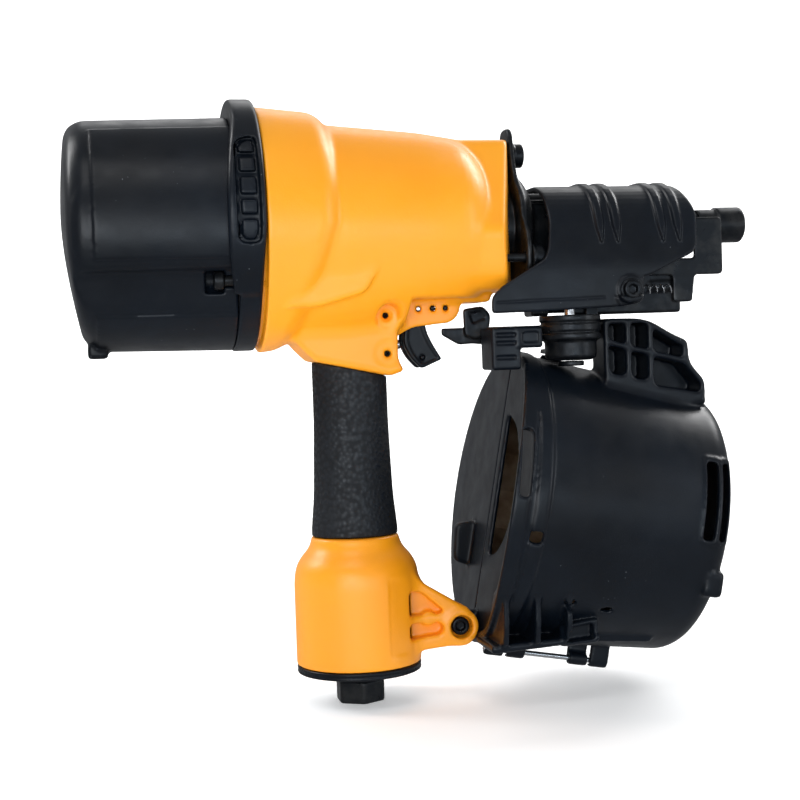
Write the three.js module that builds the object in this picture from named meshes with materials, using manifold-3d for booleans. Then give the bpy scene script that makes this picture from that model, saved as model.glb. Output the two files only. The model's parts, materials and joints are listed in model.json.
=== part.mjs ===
// Pneumatic coil nailer, in millimetres, +Z up.
// The drive axis runs along X, with the muzzle towards +X, and +Y is the tool's left side.
// Pieces are modelled about the drive axis. The last lines shift the whole tool, so that its
// origin is under the middle of its bounding box, level with the bottom of the air fitting.

import * as THREE from 'three';
import { mergeVertices } from 'three/addons/utils/BufferGeometryUtils.js';
import Module from 'manifold-3d';

const wasm = await Module();
wasm.setup();

// ---- Driving dimensions ------------------------------------------------------------------

const GAP = 0.3; // clearance between pieces that touch
const FINE = 36; // sides of a large round
const MEDIUM = 20; // sides of a middling round
const COARSE = 10; // sides of a small round
const SPRING_SIDES = 5; // sides of a spring's wire

const CAP_REAR = -255;
const CAP_FRONT = -163.3;
const CAP_RADIUS = 65.5;
const CAP_BORE = 47;
const CAP_CHAMBER_REAR = -232;
const CAP_BOLT_CIRCLE = 57.5;
const CAP_BOLT_ANGLES = [90, 210, 330];

const HOUSING_REAR = -161.5;
const BELL_REAR = -148.5;
const BELL_RADIUS = 67.5;
const HOUSING_FRONT = -GAP;
const FRONT_WALL = 14;
const FLANGE_RING_OUTER = 61.7;
const FLANGE_RING_BORE = 46;
const SPIGOT_HOLE = 22;
const BARREL_FLAT_Z = -40.3;

const HANDLE_X = -96.5;
const CORE_RX = 18;
const CORE_RY = 15;
const HANDLE_BORE = 12;
const GRIP_BOTTOM = -173.9;
const GRIP_ASPECT = 0.85;
const ROOT_HALF_WIDTH = 22;
const LOWER_RADIUS = 36;
const LOWER_BOTTOM = -247.3;
const LOWER_BORE = 31;

const SLEEVE_REAR = -190;
const SLEEVE_BORE = 30;
const SLEEVE_OUTER = 34;
const PISTON_RADIUS = 29.6;
const BLADE_RADIUS = 4.5;
const BLADE_TIP = 10;
const HEAD_VALVE_RADIUS = 46.5;

const FLANGE_THICK = 3.2;
const DRIVE_BORE = 5.2;
const NOSE_FRONT = 104;
const NOSE_TUBE_FRONT = 128;
const NOSE_NEAR = -10;
const NOSE_FAR = 7;
const NOSE_BOTTOM = -52;
const NOSE_BOLTS = [[0, 42.5], [35, -19], [-35, -19]];
const TIP_REAR = 118;
const TIP_FRONT = 147;
const TIP_RADIUS = 10;

const TRIGGER_PIVOT = [-57, -45.5];
const GUIDE_PINS = [[-48.5, -45.5], [-41, -45.5]];
const LEVER_PIVOT = [-54.5, -73.5];
const ROLL_PINS = [[-78, -49], [-77.6, -70.5]];
const BRACKET_NEAR = 12;
const BRACKET_WALL = 3;
const TRIGGER_HALF_WIDTH = 8;
const PIN_SPAN = [-11.8, 11.8]; // of the pins across the trigger bracket
const VALVE_Z = -65.5;
const ARM_NEAR = -13;
const ARM_FAR = -10.6;
const LINK_SPAN = [-15.6, -12.8]; // outside the trigger bracket

const COVER_SKIRT_Y = -46;
const COVER_TOP = 23.4;
const COVER_SKIN = 2.7;
const COVER_RIBS = [43, 53, 80, 90];
const COVER_RIB_HEIGHT = 1.8;
const COVER_SCREW = [58.5, -39];

const FEED_X = 27;
const FEED_Y = -31;
const FEED_RADIUS = 17.5;
const FEED_BOTTOM = -78;
const FEED_TOP = -52.3;
const PAWL_PIVOT = [-15.5, -41];

const DOOR_HINGE = [11, 17];
const DOOR_OUTER = 12;
const KNUCKLE_RADIUS = 4.5;

const CANISTER_PLACE = [-14, 0, -156];
const CANISTER_TILT = THREE.MathUtils.degToRad(10.7);
const CANISTER_RADIUS = 86;
const CANISTER_FRONT_RADIUS = 77.5;
const CANISTER_LENGTH = 119.5;
const CANISTER_WALL = 3;
const CANISTER_HINGE_Z = -89.8;
const HUB_RADIUS = 14;
const ARM_BOLT = [-39.7, -228.6];

const FITTING_ACROSS_FLATS = 26;
const FITTING_BOTTOM = -270;

const CAP_BOLT_HOLE = 3.3;
const NOSE_BOLT_HOLE = 2.7;
const ARM_BOLT_RADIUS = 3;
const ARM_BOLT_HOLE = 3.4;
const ARM_BOLT_COUNTERBORE = 6.7;
const PIN_RADIUS = 1.5; // trigger pin and roll pins
const SMALL_PIN_RADIUS = 1.2; // lever pin and pawl pin
const GUIDE_PIN_RADIUS = 1.3;
const DOOR_PIN_RADIUS = 2;
const CANISTER_PIN_RADIUS = 1.6;
const CANISTER_PIN_HOLE = 2;
const VALVE_RADIUS = 9;

// ---- Materials ---------------------------------------------------------------------------

function finish(color, roughness, metalness) {
  return new THREE.MeshStandardMaterial({ color, roughness, metalness });
}

const orangePaint = finish(0xffa010, 0.4, 0.1);
const blackPlastic = finish(0x16181c, 0.55, 0);
const gripRubber = finish(0x101012, 0.85, 0);
const sealRubber = finish(0x1a1a1a, 0.7, 0);
const blackSteel = finish(0x1c1e22, 0.4, 0.8);
const brightSteel = finish(0xc8ccd0, 0.25, 1);
const aluminium = finish(0xb0b4b8, 0.4, 1);
const tanSteel = finish(0x9a6b3c, 0.5, 0.4);

// ---- Solids and booleans -----------------------------------------------------------------

// A closed three.js geometry as a solid, with its faces turned outwards.
function solid(geometry) {
  const bare = geometry.clone();
  bare.deleteAttribute('normal');
  bare.deleteAttribute('uv');
  const merged = mergeVertices(bare, 1e-4);
  const corners = merged.index.array;
  const kept = [];
  for (let i = 0; i < corners.length; i += 3) {
    const [a, b, c] = [corners[i], corners[i + 1], corners[i + 2]];
    if (a !== b && b !== c && c !== a) kept.push(a, b, c);
  }
  const vertProperties = merged.attributes.position.array;
  const made = build(vertProperties, kept);
  return made.volume() < 0 ? build(vertProperties, kept.reverse()) : made;
}

function build(vertProperties, corners) {
  const triVerts = new Uint32Array(corners);
  return new wasm.Manifold(new wasm.Mesh({ numProp: 3, vertProperties, triVerts }));
}

function joined(first, ...rest) {
  return rest.reduce((whole, next) => whole.add(next), first);
}

function cut(first, ...rest) {
  return rest.reduce((whole, next) => whole.subtract(next), first);
}

function geometryOf(made) {
  const mesh = made.getMesh();
  const geometry = new THREE.BufferGeometry();
  geometry.setAttribute('position', new THREE.BufferAttribute(mesh.vertProperties, 3));
  geometry.setIndex(new THREE.BufferAttribute(mesh.triVerts, 1));
  const flat = geometry.toNonIndexed();
  flat.computeVertexNormals();
  return flat;
}

// ---- Shapes ------------------------------------------------------------------------------

// A block between low and high limits along each axis.
function block([x0, x1], [y0, y1], [z0, z1]) {
  const geometry = new THREE.BoxGeometry(x1 - x0, y1 - y0, z1 - z0);
  return solid(geometry.translate((x0 + x1) / 2, (y0 + y1) / 2, (z0 + z1) / 2));
}

function profileCurve(profile) {
  return profile.map(([along, radius]) => new THREE.Vector2(radius, along));
}

// A round about the X axis, from a profile of [x, radius] that starts and ends on the axis.
function turnedX(profile, sides = FINE) {
  return solid(new THREE.LatheGeometry(profileCurve(profile), sides).rotateZ(-Math.PI / 2));
}

// A round about a vertical line, from a profile of [z, radius], optionally flattened along Y.
function turnedZ(profile, x, y, sides = FINE, aspect = 1) {
  const geometry = new THREE.LatheGeometry(profileCurve(profile), sides);
  return solid(geometry.rotateX(Math.PI / 2).scale(1, aspect, 1).translate(x, y, 0));
}

// A rod along one axis, with its centre line given by its other two coordinates in order.
function rod(axis, radius, [start, end], [a, b], sides = COARSE) {
  const geometry = new THREE.CylinderGeometry(radius, radius, end - start, sides);
  const middle = (start + end) / 2;
  if (axis === 'x') return solid(geometry.rotateZ(-Math.PI / 2).translate(middle, a, b));
  if (axis === 'y') return solid(geometry.translate(a, middle, b));
  return solid(geometry.rotateX(Math.PI / 2).translate(a, b, middle));
}

// A closed outline from corners of [u, v] or [u, v, radius].
function outline(corners) {
  const shape = new THREE.Shape();
  const count = corners.length;
  corners.forEach(([u, v, radius = 0], i) => {
    const corner = new THREE.Vector2(u, v);
    const before = new THREE.Vector2(...corners[(i + count - 1) % count].slice(0, 2));
    const after = new THREE.Vector2(...corners[(i + 1) % count].slice(0, 2));
    const start = corner.clone().add(before.sub(corner).setLength(radius));
    const end = corner.clone().add(after.sub(corner).setLength(radius));
    if (i === 0) shape.moveTo(start.x, start.y);
    else shape.lineTo(start.x, start.y);
    if (radius > 0) shape.quadraticCurveTo(corner.x, corner.y, end.x, end.y);
  });
  shape.closePath();
  return shape;
}

function extruded(corners, depth) {
  return new THREE.ExtrudeGeometry(outline(corners), { depth, bevelEnabled: false, curveSegments: 4 });
}

// A plate whose outline is seen from the side, as [x, z], between two values of y.
function sidePlate(corners, [y0, y1]) {
  return solid(extruded(corners, y1 - y0).rotateX(Math.PI / 2).translate(0, y1, 0));
}

// A plate whose outline is seen along the drive axis, as [y, z], between two values of x.
function crossPlate(corners, [x0, x1]) {
  const turn = new THREE.Matrix4().makeBasis(
    new THREE.Vector3(0, 1, 0),
    new THREE.Vector3(0, 0, 1),
    new THREE.Vector3(1, 0, 0),
  );
  return solid(extruded(corners, x1 - x0).applyMatrix4(turn).translate(x0, 0, 0));
}

// The centre line of a coil spring along X.
class Helix extends THREE.Curve {
  constructor(radius, length, turns) {
    super();
    Object.assign(this, { radius, length, turns });
  }

  getPoint(t, target = new THREE.Vector3()) {
    const angle = t * this.turns * 2 * Math.PI;
    return target.set(t * this.length, this.radius * Math.cos(angle), this.radius * Math.sin(angle));
  }
}

// A coil spring along X, from start to end at its outside faces.
function coilSpring(radius, wire, [start, end], turns) {
  const section = new THREE.Shape();
  for (let i = 0; i < SPRING_SIDES; i++) {
    const angle = (i * 2 * Math.PI) / SPRING_SIDES;
    const [u, v] = [wire * Math.cos(angle), wire * Math.sin(angle)];
    if (i === 0) section.moveTo(u, v);
    else section.lineTo(u, v);
  }
  section.closePath();
  const path = new Helix(radius, end - start - 2 * wire, turns);
  const geometry = new THREE.ExtrudeGeometry(section, { steps: turns * 10, extrudePath: path });
  return solid(geometry.translate(start + wire, 0, 0));
}

// ---- Scene graph -------------------------------------------------------------------------

const tool = new THREE.Group();
const canister = new THREE.Group();
canister.position.set(...CANISTER_PLACE);
canister.rotation.y = CANISTER_TILT;
canister.updateMatrix();
tool.add(canister);

function piece(name, made, material, parent = tool) {
  const mesh = new THREE.Mesh(geometryOf(made), material);
  mesh.name = name;
  parent.add(mesh);
  return mesh;
}

// A solid modelled about the drive axis, in the canister's own tilted frame.
function inCanister(made) {
  return solid(geometryOf(made).applyMatrix4(canister.matrix.clone().invert()));
}

function aroundCap(angle) {
  const turn = THREE.MathUtils.degToRad(angle);
  return [CAP_BOLT_CIRCLE * Math.cos(turn), CAP_BOLT_CIRCLE * Math.sin(turn)];
}

// ---- Housing -----------------------------------------------------------------------------

function barrelOutside() {
  const whole = turnedX([
    [HOUSING_REAR, 0], [HOUSING_REAR, FLANGE_RING_OUTER], [BELL_REAR, FLANGE_RING_OUTER],
    [BELL_REAR, BELL_RADIUS], [-120, BELL_RADIUS], [-105, 60], [-35, 54.5], [-28, 51],
    [HOUSING_FRONT, 50], [HOUSING_FRONT, 0],
  ]);
  return cut(whole, block([-68, 1], [-70, 70], [-80, BARREL_FLAT_Z]));
}

function barrelInside() {
  return turnedX([
    [HOUSING_REAR - 1, 0], [HOUSING_REAR - 1, FLANGE_RING_BORE], [BELL_REAR, FLANGE_RING_BORE],
    [BELL_REAR + 2, 58], [-118, 58], [-100, 46], [-75, 37], [-FRONT_WALL, 37],
    [-FRONT_WALL, SPIGOT_HOLE], [1, SPIGOT_HOLE], [1, 0],
  ]);
}

// The block where the handle meets the barrel; its lower edge slopes down towards the front.
function handleRoot() {
  const corners = [
    [-140, -44], [-128, -66.5], [-118.5, -73.5], [-75.5, -83, 3], [-68, -79, 3], [-69, -74],
    [-69, -42],
  ];
  return sidePlate(corners, [-ROOT_HALF_WIDTH, ROOT_HALF_WIDTH]);
}

function triggerBracket() {
  const corners = [
    [-72, -36], [-32, -38], [-32, -49, 4], [-38, -53.5, 3], [-63, -56, 4], [-72, -58],
  ];
  const inner = BRACKET_NEAR - BRACKET_WALL;
  const near = sidePlate(corners, [-BRACKET_NEAR, -inner]);
  const far = sidePlate(corners, [inner, BRACKET_NEAR]);
  return joined(near, far);
}

function handleOutside() {
  const core = turnedZ([[-190, 0], [-190, CORE_RX], [-60, CORE_RX], [-60, 0]],
    HANDLE_X, 0, MEDIUM, CORE_RY / CORE_RX);
  const lower = turnedZ([
    [LOWER_BOTTOM, 0], [LOWER_BOTTOM, LOWER_RADIUS], [-196, LOWER_RADIUS], [-186, 32],
    [GRIP_BOTTOM - GAP, 25], [GRIP_BOTTOM - GAP, 0],
  ], HANDLE_X, 0);
  return joined(core, lower);
}

function frontArm() {
  const corners = [[-80, -193], [-66, -197], [-41, -219, 6], [-36, -239, 4], [-80, -241]];
  const web = sidePlate(corners, [-20, -8]);
  const boss = rod('y', 10, [-20, -8], ARM_BOLT, MEDIUM);
  return joined(web, boss);
}

function housing() {
  const outside = joined(barrelOutside(), handleRoot(), handleOutside(), frontArm());
  const hollowed = joined(cut(outside, barrelInside()), triggerBracket());
  const holes = [
    rod('z', HANDLE_BORE, [LOWER_BOTTOM - 1, -50], [HANDLE_X, 0], MEDIUM),
    rod('z', LOWER_BORE, [LOWER_BOTTOM - 1, -200], [HANDLE_X, 0], MEDIUM),
    rod('x', VALVE_RADIUS + GAP, [-97.3, -60], [0, VALVE_Z], MEDIUM),
    rod('y', ARM_BOLT_HOLE, [-21, -7], ARM_BOLT),
    rod('y', ARM_BOLT_COUNTERBORE, [-21, -13], ARM_BOLT, MEDIUM),
    rod('y', PIN_RADIUS + GAP, [-13, 13], TRIGGER_PIVOT),
    ...GUIDE_PINS.map((pin) => rod('y', GUIDE_PIN_RADIUS + GAP, [-13, 13], pin)),
    ...ROLL_PINS.map((pin) => rod('y', PIN_RADIUS + GAP, [-34, 34], pin)),
    ...NOSE_BOLTS.map((bolt) => rod('x', NOSE_BOLT_HOLE, [-12.7, 1], bolt)),
    ...CAP_BOLT_ANGLES.map((angle) => rod('x', CAP_BOLT_HOLE, [-162, -150], aroundCap(angle))),
  ];
  return cut(hollowed, ...holes);
}

// ---- Cap, exhaust band and their fasteners -----------------------------------------------

function rearCap() {
  const shell = turnedX([
    [CAP_REAR, 0], [-254.5, 30], [-250, 48], [-243, 59], [-232, 63.5], [CAP_FRONT, CAP_RADIUS],
    [CAP_FRONT, 0],
  ]);
  const chamber = turnedX([
    [CAP_CHAMBER_REAR, 0], [CAP_CHAMBER_REAR, CAP_BORE], [CAP_FRONT + 1, CAP_BORE], [CAP_FRONT + 1, 0],
  ]);
  const channels = CAP_BOLT_ANGLES.map((angle) => {
    const channel = block([CAP_REAR - 1, -170], [51, 70], [-7, 7]);
    return channel.rotate([angle, 0, 0]);
  });
  const holes = CAP_BOLT_ANGLES.map((angle) =>
    rod('x', CAP_BOLT_HOLE, [-171, CAP_FRONT + 1], aroundCap(angle)));
  return cut(shell, chamber, ...channels, ...holes);
}

function capBolt(angle) {
  const head = rod('x', 5, [-176, -170.3], aroundCap(angle), 6);
  const shank = rod('x', 3, [-170.4, -150.5], aroundCap(angle));
  return joined(head, shank);
}

function ring([rear, front], [inner, outer], sides = FINE) {
  return turnedX([[rear, inner], [rear, outer], [front, outer], [front, inner], [rear, inner]], sides);
}

function capGasket() {
  const holes = CAP_BOLT_ANGLES.map((angle) => rod('x', CAP_BOLT_HOLE, [-164, -161], aroundCap(angle)));
  return cut(ring([-163, -161.8], [47, 61.4]), ...holes);
}

// A band round the joint, raised over the top and sides where the exhaust leaves.
function exhaustDeflector() {
  const rear = CAP_FRONT + GAP;
  const front = BELL_REAR - GAP;
  const saddle = rod('x', 70, [rear, front], [0, 5], FINE);
  const lowered = cut(saddle, block([rear - 1, front + 1], [-80, 80], [-80, -30]));
  const band = joined(rod('x', 66.3, [rear, front], [0, 0], FINE), lowered);
  return cut(band, rod('x', FLANGE_RING_OUTER + GAP, [rear - 1, front + 1], [0, 0], FINE));
}

// ---- Drive: sleeve, piston, blade, bumper and head valve ---------------------------------

function cylinderSleeve() {
  const tube = turnedX([
    [SLEEVE_REAR, SLEEVE_BORE], [SLEEVE_REAR, SLEEVE_OUTER], [-158, SLEEVE_OUTER], [-158, 45.6],
    [-153, 45.6], [-153, SLEEVE_OUTER], [-FRONT_WALL - GAP, SLEEVE_OUTER],
    [-FRONT_WALL - GAP, SLEEVE_BORE], [SLEEVE_REAR, SLEEVE_BORE],
  ]);
  const airHoles = [0, 60, 120, 180, 240, 300].map((angle) => {
    const turn = THREE.MathUtils.degToRad(angle);
    return rod('x', 3.5, [-159, -152], [40 * Math.cos(turn), 40 * Math.sin(turn)], 8);
  });
  return cut(tube, ...airHoles);
}

function piston() {
  return turnedX([
    [-189.5, 0], [-189.5, PISTON_RADIUS], [-184, PISTON_RADIUS], [-184, 27.4], [-179, 27.4],
    [-179, PISTON_RADIUS], [-172, PISTON_RADIUS], [-172, 0],
  ], MEDIUM);
}

function headValve() {
  return turnedX([
    [-212, 0], [-212, HEAD_VALVE_RADIUS], [-196, HEAD_VALVE_RADIUS], [-196, 38], [-194, 38], [-194, 0],
  ], MEDIUM);
}

// ---- Nose --------------------------------------------------------------------------------

function flangePlate() {
  const corners = [
    [-8, 58, 4], [8, 58, 4], [14, 34, 4], [41, -9, 4], [41, -27, 4], [34, -31, 3],
    [-34, -31, 3], [-41, -27, 4], [-41, -9, 4], [-14, 34, 4],
  ];
  return crossPlate(corners, [0, FLANGE_THICK]);
}

function noseKnuckle([start, end]) {
  const barrel = rod('x', KNUCKLE_RADIUS, [start, end], DOOR_HINGE, COARSE);
  return joined(barrel, block([start, end], [2, DOOR_HINGE[0]], [10, DOOR_HINGE[1]]));
}

function nosepiece() {
  const spigotAndBoss = turnedX([
    [-13, 0], [-13, SPIGOT_HOLE - GAP], [0.1, SPIGOT_HOLE - GAP], [0.1, 32], [FLANGE_THICK, 32],
    [8, 27], [12, 19], [13, 0],
  ]);
  const body = block([11, NOSE_FRONT], [NOSE_NEAR, NOSE_FAR], [NOSE_BOTTOM, 14]);
  const tube = rod('x', 8, [NOSE_FRONT - 1, NOSE_TUBE_FRONT], [0, 0], MEDIUM);
  const screwBoss = rod('y', 6, [-43, NOSE_NEAR + 1], COVER_SCREW);
  const knuckles = [noseKnuckle([14, 34]), noseKnuckle([82, 102])];
  const solidNose = joined(flangePlate(), spigotAndBoss, body, tube, screwBoss, ...knuckles);
  return cut(
    solidNose,
    rod('x', DRIVE_BORE, [-14, NOSE_TUBE_FRONT + 1], [0, 0], MEDIUM),
    block([14, NOSE_FRONT - 2], [-DRIVE_BORE, NOSE_FAR + 1], [NOSE_BOTTOM - 1, 0]),
    block([21.5, 32.5], [NOSE_NEAR - 1, 0], [NOSE_BOTTOM - 1, -31]),
    rod('x', DOOR_PIN_RADIUS + GAP, [13, 103], DOOR_HINGE),
    rod('y', NOSE_BOLT_HOLE, [-44, -11], COVER_SCREW),
    ...NOSE_BOLTS.map((bolt) => rod('x', NOSE_BOLT_HOLE, [-1, FLANGE_THICK + 1], bolt)),
  );
}

function noseBolt(place) {
  return joined(rod('x', 5.2, [3.5, 10], place, 6), rod('x', 2.4, [-12, 3.6], place));
}

// The door's outline clears the hinge knuckles that belong to the nosepiece.
function noseDoor() {
  const panel = block([14, 102], [NOSE_FAR + GAP, DOOR_OUTER], [-50, 9.7]);
  const knuckle = rod('x', KNUCKLE_RADIUS, [34.4, 81.6], DOOR_HINGE);
  const neck = block([34.4, 81.6], [NOSE_FAR + GAP, DOOR_OUTER], [9.6, DOOR_HINGE[1]]);
  return cut(joined(panel, knuckle, neck), rod('x', DOOR_PIN_RADIUS + GAP, [34, 82], DOOR_HINGE));
}

function noseDoorLatch() {
  const lever = [[20, -36, 3], [46, -38, 2], [46, -43, 2], [28, -45, 3], [24, -48, 2], [19, -46, 3]];
  const pad = [[38, -37.5, 2], [48, -37.5, 2], [48, -43.5, 2], [38, -43.5, 2]];
  return joined(
    sidePlate(lever, [DOOR_OUTER + GAP, DOOR_OUTER + 3]),
    sidePlate(pad, [DOOR_OUTER + 2, DOOR_OUTER + 6]),
  );
}

// The cover's section across the drive axis, as [y, z], from its far edge round to the skirt.
const COVER_SECTION = [
  [5, COVER_TOP], [-14, COVER_TOP, 5], [-30, 17, 6], [-39, 4, 6], [-43.5, -12, 5],
  [COVER_SKIRT_Y, -24], [COVER_SKIRT_Y, -50.3],
];

// The cover's outline from the side, as [x, z].
const COVER_OUTLINE = [
  [13.6, 25], [97, 25, 3], [103, 6, 4], [100, -18, 4], [86, -24, 3], [72, -31, 2], [67, -32],
  [67, -46.5, 6], [52, -48.5, 3], [2, -50], [-22.7, -50.3, 2], [-22.6, -41, 3], [-16, -35],
  [9, -20.3], [11.6, -14], [13.6, 0],
];

// A bent sheet that wraps over the top of the nose and hangs down its right side.
function coverSheet(extra) {
  const [edge, shoulder, ...side] = COVER_SECTION;
  const inside = [
    [edge[0], COVER_TOP - COVER_SKIN],
    [shoulder[0] + 1, COVER_TOP - COVER_SKIN, 4],
    ...side.map(([y, z, radius]) => [y + COVER_SKIN, z, radius]),
  ];
  const outside = [shoulder, ...side].map(([y, z, radius]) => [y - extra, z > 0 ? z + extra : z, radius]);
  return [[edge[0], COVER_TOP + extra], ...outside, ...inside.reverse()];
}

function noseCover() {
  const sheet = crossPlate(coverSheet(0), [-23, 103]);
  const trimmed = sheet.intersect(sidePlate(COVER_OUTLINE, [-60, 20]));
  const ribs = COVER_RIBS.map((x) => {
    const band = crossPlate(coverSheet(COVER_RIB_HEIGHT), [x - 1.6, x + 1.6]);
    return band.intersect(block([x - 2, x + 2], [-60, 4], [-11, 40]));
  });
  return cut(joined(trimmed, ...ribs), rod('y', NOSE_BOLT_HOLE, [-60, -30], COVER_SCREW));
}

function coverScrew() {
  return joined(
    rod('y', 5, [COVER_SKIRT_Y - 5, COVER_SKIRT_Y - GAP], COVER_SCREW, 6),
    rod('y', 2.4, [COVER_SKIRT_Y - GAP - 0.1, -11.5], COVER_SCREW),
  );
}

// ---- Work contact ------------------------------------------------------------------------

function contactTip() {
  return turnedX([
    [TIP_REAR, 8.4], [TIP_REAR, TIP_RADIUS], [TIP_FRONT, TIP_RADIUS], [TIP_FRONT, 6], [141, 6],
    [141, 8.4], [TIP_REAR, 8.4],
  ], MEDIUM);
}

// A flat steel arm from beside the trigger to the tip, stepping up between feed and canister,
// with a link that slides past the outside of the trigger bracket.
function contactArm() {
  const corners = [
    [-44, -57.2], [-44, -61, 1], [-34, -67, 2], [-26, -66.5, 2], [-14, -68, 4], [-3, -63.5, 3],
    [51, -63.5, 3], [51, -30], [98, -30], [98, -46, 2], [110, -46, 2], [112, -30], [130, -30, 3],
    [130, 4, 3], [112, 4, 3], [112, -20], [43, -20, 3], [43, -57.2],
  ];
  const link = [[-31, -62, 2], [-31.5, -46.5, 2], [-20, -45, 2], [-15, -50, 3], [-17, -62, 3], [-24, -64, 2]];
  return joined(sidePlate(corners, [ARM_NEAR, ARM_FAR]), sidePlate(link, LINK_SPAN));
}

// ---- Trigger and valve -------------------------------------------------------------------

function trigger() {
  const blade = sidePlate([
    [-61.5, -42, 3], [-53, -42, 3], [-53.5, -55], [-50, -64], [-43.5, -74.7, 1], [-55.2, -79.2, 2],
    [-61.5, -74], [-65.4, -66.5, 2], [-64, -53],
  ], [-TRIGGER_HALF_WIDTH, TRIGGER_HALF_WIDTH]);
  const slot = block([-70, -59.5], [-3.5, 3.5], [-85, -41]);
  const leverRoom = block([-60, -49.5], [-3.5, 3.5], [-85, -65]);
  return cut(
    blade,
    slot,
    leverRoom,
    rod('y', PIN_RADIUS + GAP, [-9, 9], TRIGGER_PIVOT),
    rod('y', SMALL_PIN_RADIUS + GAP, [-9, 9], LEVER_PIVOT),
  );
}

function triggerLever() {
  const corners = [
    [-51, -70.5, 1], [-51, -76.5, 1], [-58, -76.5, 1], [-63.2, -66.5, 1], [-60.6, -66, 1], [-57, -70.5],
  ];
  return cut(sidePlate(corners, [-3, 3]), rod('y', SMALL_PIN_RADIUS + GAP, [-4, 4], LEVER_PIVOT));
}

function valveBody() {
  const body = rod('x', VALVE_RADIUS, [-97, -70], [0, VALVE_Z], MEDIUM);
  return cut(
    body,
    rod('x', 5.5, [-98, -84], [0, VALVE_Z]),
    rod('x', 3, [-85, -69], [0, VALVE_Z]),
    rod('y', PIN_RADIUS + GAP, [-10, 10], ROLL_PINS[1]),
  );
}

function valveStem() {
  return joined(rod('x', 2.7, [-86, -65.9], [0, VALVE_Z]), rod('x', 4.6, [-88, -85.9], [0, VALVE_Z]));
}

// ---- Feed --------------------------------------------------------------------------------

function feedCylinder() {
  const at = [FEED_X, FEED_Y];
  const body = turnedZ([
    [FEED_BOTTOM, 0], [FEED_BOTTOM, FEED_RADIUS - 2], [FEED_BOTTOM + 4, FEED_RADIUS],
    [-66, FEED_RADIUS], [-65, FEED_RADIUS - 1], [-62, FEED_RADIUS - 1], [-61, FEED_RADIUS],
    [FEED_TOP, FEED_RADIUS], [FEED_TOP, 0],
  ], ...at, MEDIUM);
  return cut(body, rod('z', 13, [-74, FEED_TOP + 1], at, MEDIUM));
}

function feedPiston() {
  const at = [FEED_X, FEED_Y];
  return joined(rod('z', 12.7, [-60, -55], at, MEDIUM), rod('z', 3, [-55.1, -44.3], at));
}

function feedSlide() {
  const bar = block([20, 34], [-36, -18.6], [-44, -38]);
  const nearEar = block([20, 23.4], [-18.7, -14], [-43.5, -38.5]);
  const farEar = block([30.6, 34], [-18.7, -14], [-43.5, -38.5]);
  return cut(joined(bar, nearEar, farEar), rod('x', SMALL_PIN_RADIUS + GAP, [19, 35], PAWL_PIVOT));
}

function feedPawl() {
  const finger = crossPlate([[-17.4, -39.2, 1], [-17.4, -42.8, 1], [-3, -42.4], [-2, -39.4]], [24, 30]);
  return cut(finger, rod('x', SMALL_PIN_RADIUS + GAP, [23, 31], PAWL_PIVOT));
}

function magazineMount() {
  const post = block([-22, -5], [-40, -16], [-82, -58]);
  return joined(post, block([-5.1, 8], [-40, -16], [-70, -58]));
}

// ---- Canister ----------------------------------------------------------------------------

function canisterSolid() {
  return turnedX([
    [0, 0], [0, CANISTER_RADIUS], [8, CANISTER_RADIUS], [8, CANISTER_RADIUS - 1.2],
    [110, CANISTER_FRONT_RADIUS], [116.5, 74], [CANISTER_LENGTH, 68], [CANISTER_LENGTH, 0],
  ]);
}

function canisterShell() {
  const front = CANISTER_LENGTH - CANISTER_WALL;
  const inside = turnedX([
    [CANISTER_WALL, 0], [CANISTER_WALL, 82], [108, 74.5], [113.5, 71.5], [front, 66], [front, 0],
  ]);
  return cut(canisterSolid(), inside);
}

// The half of a solid on one side of the canister's middle plane.
function halfOf(made, side) {
  const far = 120;
  const range = side > 0 ? [0.4, far] : [-far, -0.4];
  return made.intersect(block([-60, 180], range, [-far, far]));
}

function hingeKnuckles(starts, side) {
  return starts.map((start) => {
    const span = [start, start + 12];
    const barrel = rod('x', 3.8, span, [0, CANISTER_HINGE_Z]);
    const range = side > 0 ? [0.4, 3.8] : [-3.8, -0.4];
    return joined(barrel, block(span, range, [CANISTER_HINGE_Z, -77]));
  });
}

// The ribbed bracket that carries the canister from the nose, and the space between its ribs.
function canisterBracket() {
  const edge = sidePlate([
    [45.2, -54.8], [71, -55.3, 3], [88, -65.5, 3], [96, -68.7], [96.8, -81.5], [106, -92.5], [106, -106],
    [45.2, -100],
  ], [-38, -15]);
  const pockets = [
    [[48, -58], [58, -58], [58, -69.5], [48, -66.5]],
    [[61.5, -58], [70, -58], [71.5, -59.5], [71.5, -73], [61.5, -70.5]],
    [[75, -61.5], [88, -69.5], [92.5, -72], [92.5, -78.5], [75, -74]],
    [[48, -70], [58, -73], [58, -90], [48, -88]],
    [[61.5, -74], [71.5, -76.5], [71.5, -93], [61.5, -91]],
    [[75, -77.5], [93, -82], [103, -94], [103, -101], [75, -95]],
  ];
  return cut(edge, ...pockets.map((corners) => sidePlate(corners, [-39, -18])));
}

function lowerFlange() {
  const ledge = sidePlate([[-30, -231], [30, -229], [30, -232.5], [-30, -235.5]], [-64, -30]);
  const gussets = [-21, -3, 14].map((x) =>
    crossPlate([[-77, -196], [-64, -232], [-30, -232], [-50, -215]], [x - 1.5, x + 1.5]));
  const earLink = block([-36, -8], [-7.6, -1.2], [-238, -222]);
  const ear = rod('y', 10, [-7.6, -1.2], ARM_BOLT, MEDIUM);
  const bridge = sidePlate([[-30, -236], [-10, -232], [-10, -236.5], [-30, -239]], [-34, -1.2]);
  return joined(ledge, ...gussets, earLink, ear, bridge);
}

// The slot in the rear wall through which the coil of nails is seen.
function rearOpening() {
  return crossPlate([
    [-8, 49, 4], [-30, 42, 8], [-44, 22, 10], [-46, 2, 10], [-38, -20, 10], [-22, -32, 6], [-8, -34, 4],
  ], [-1, CANISTER_WALL + 1]);
}

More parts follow.
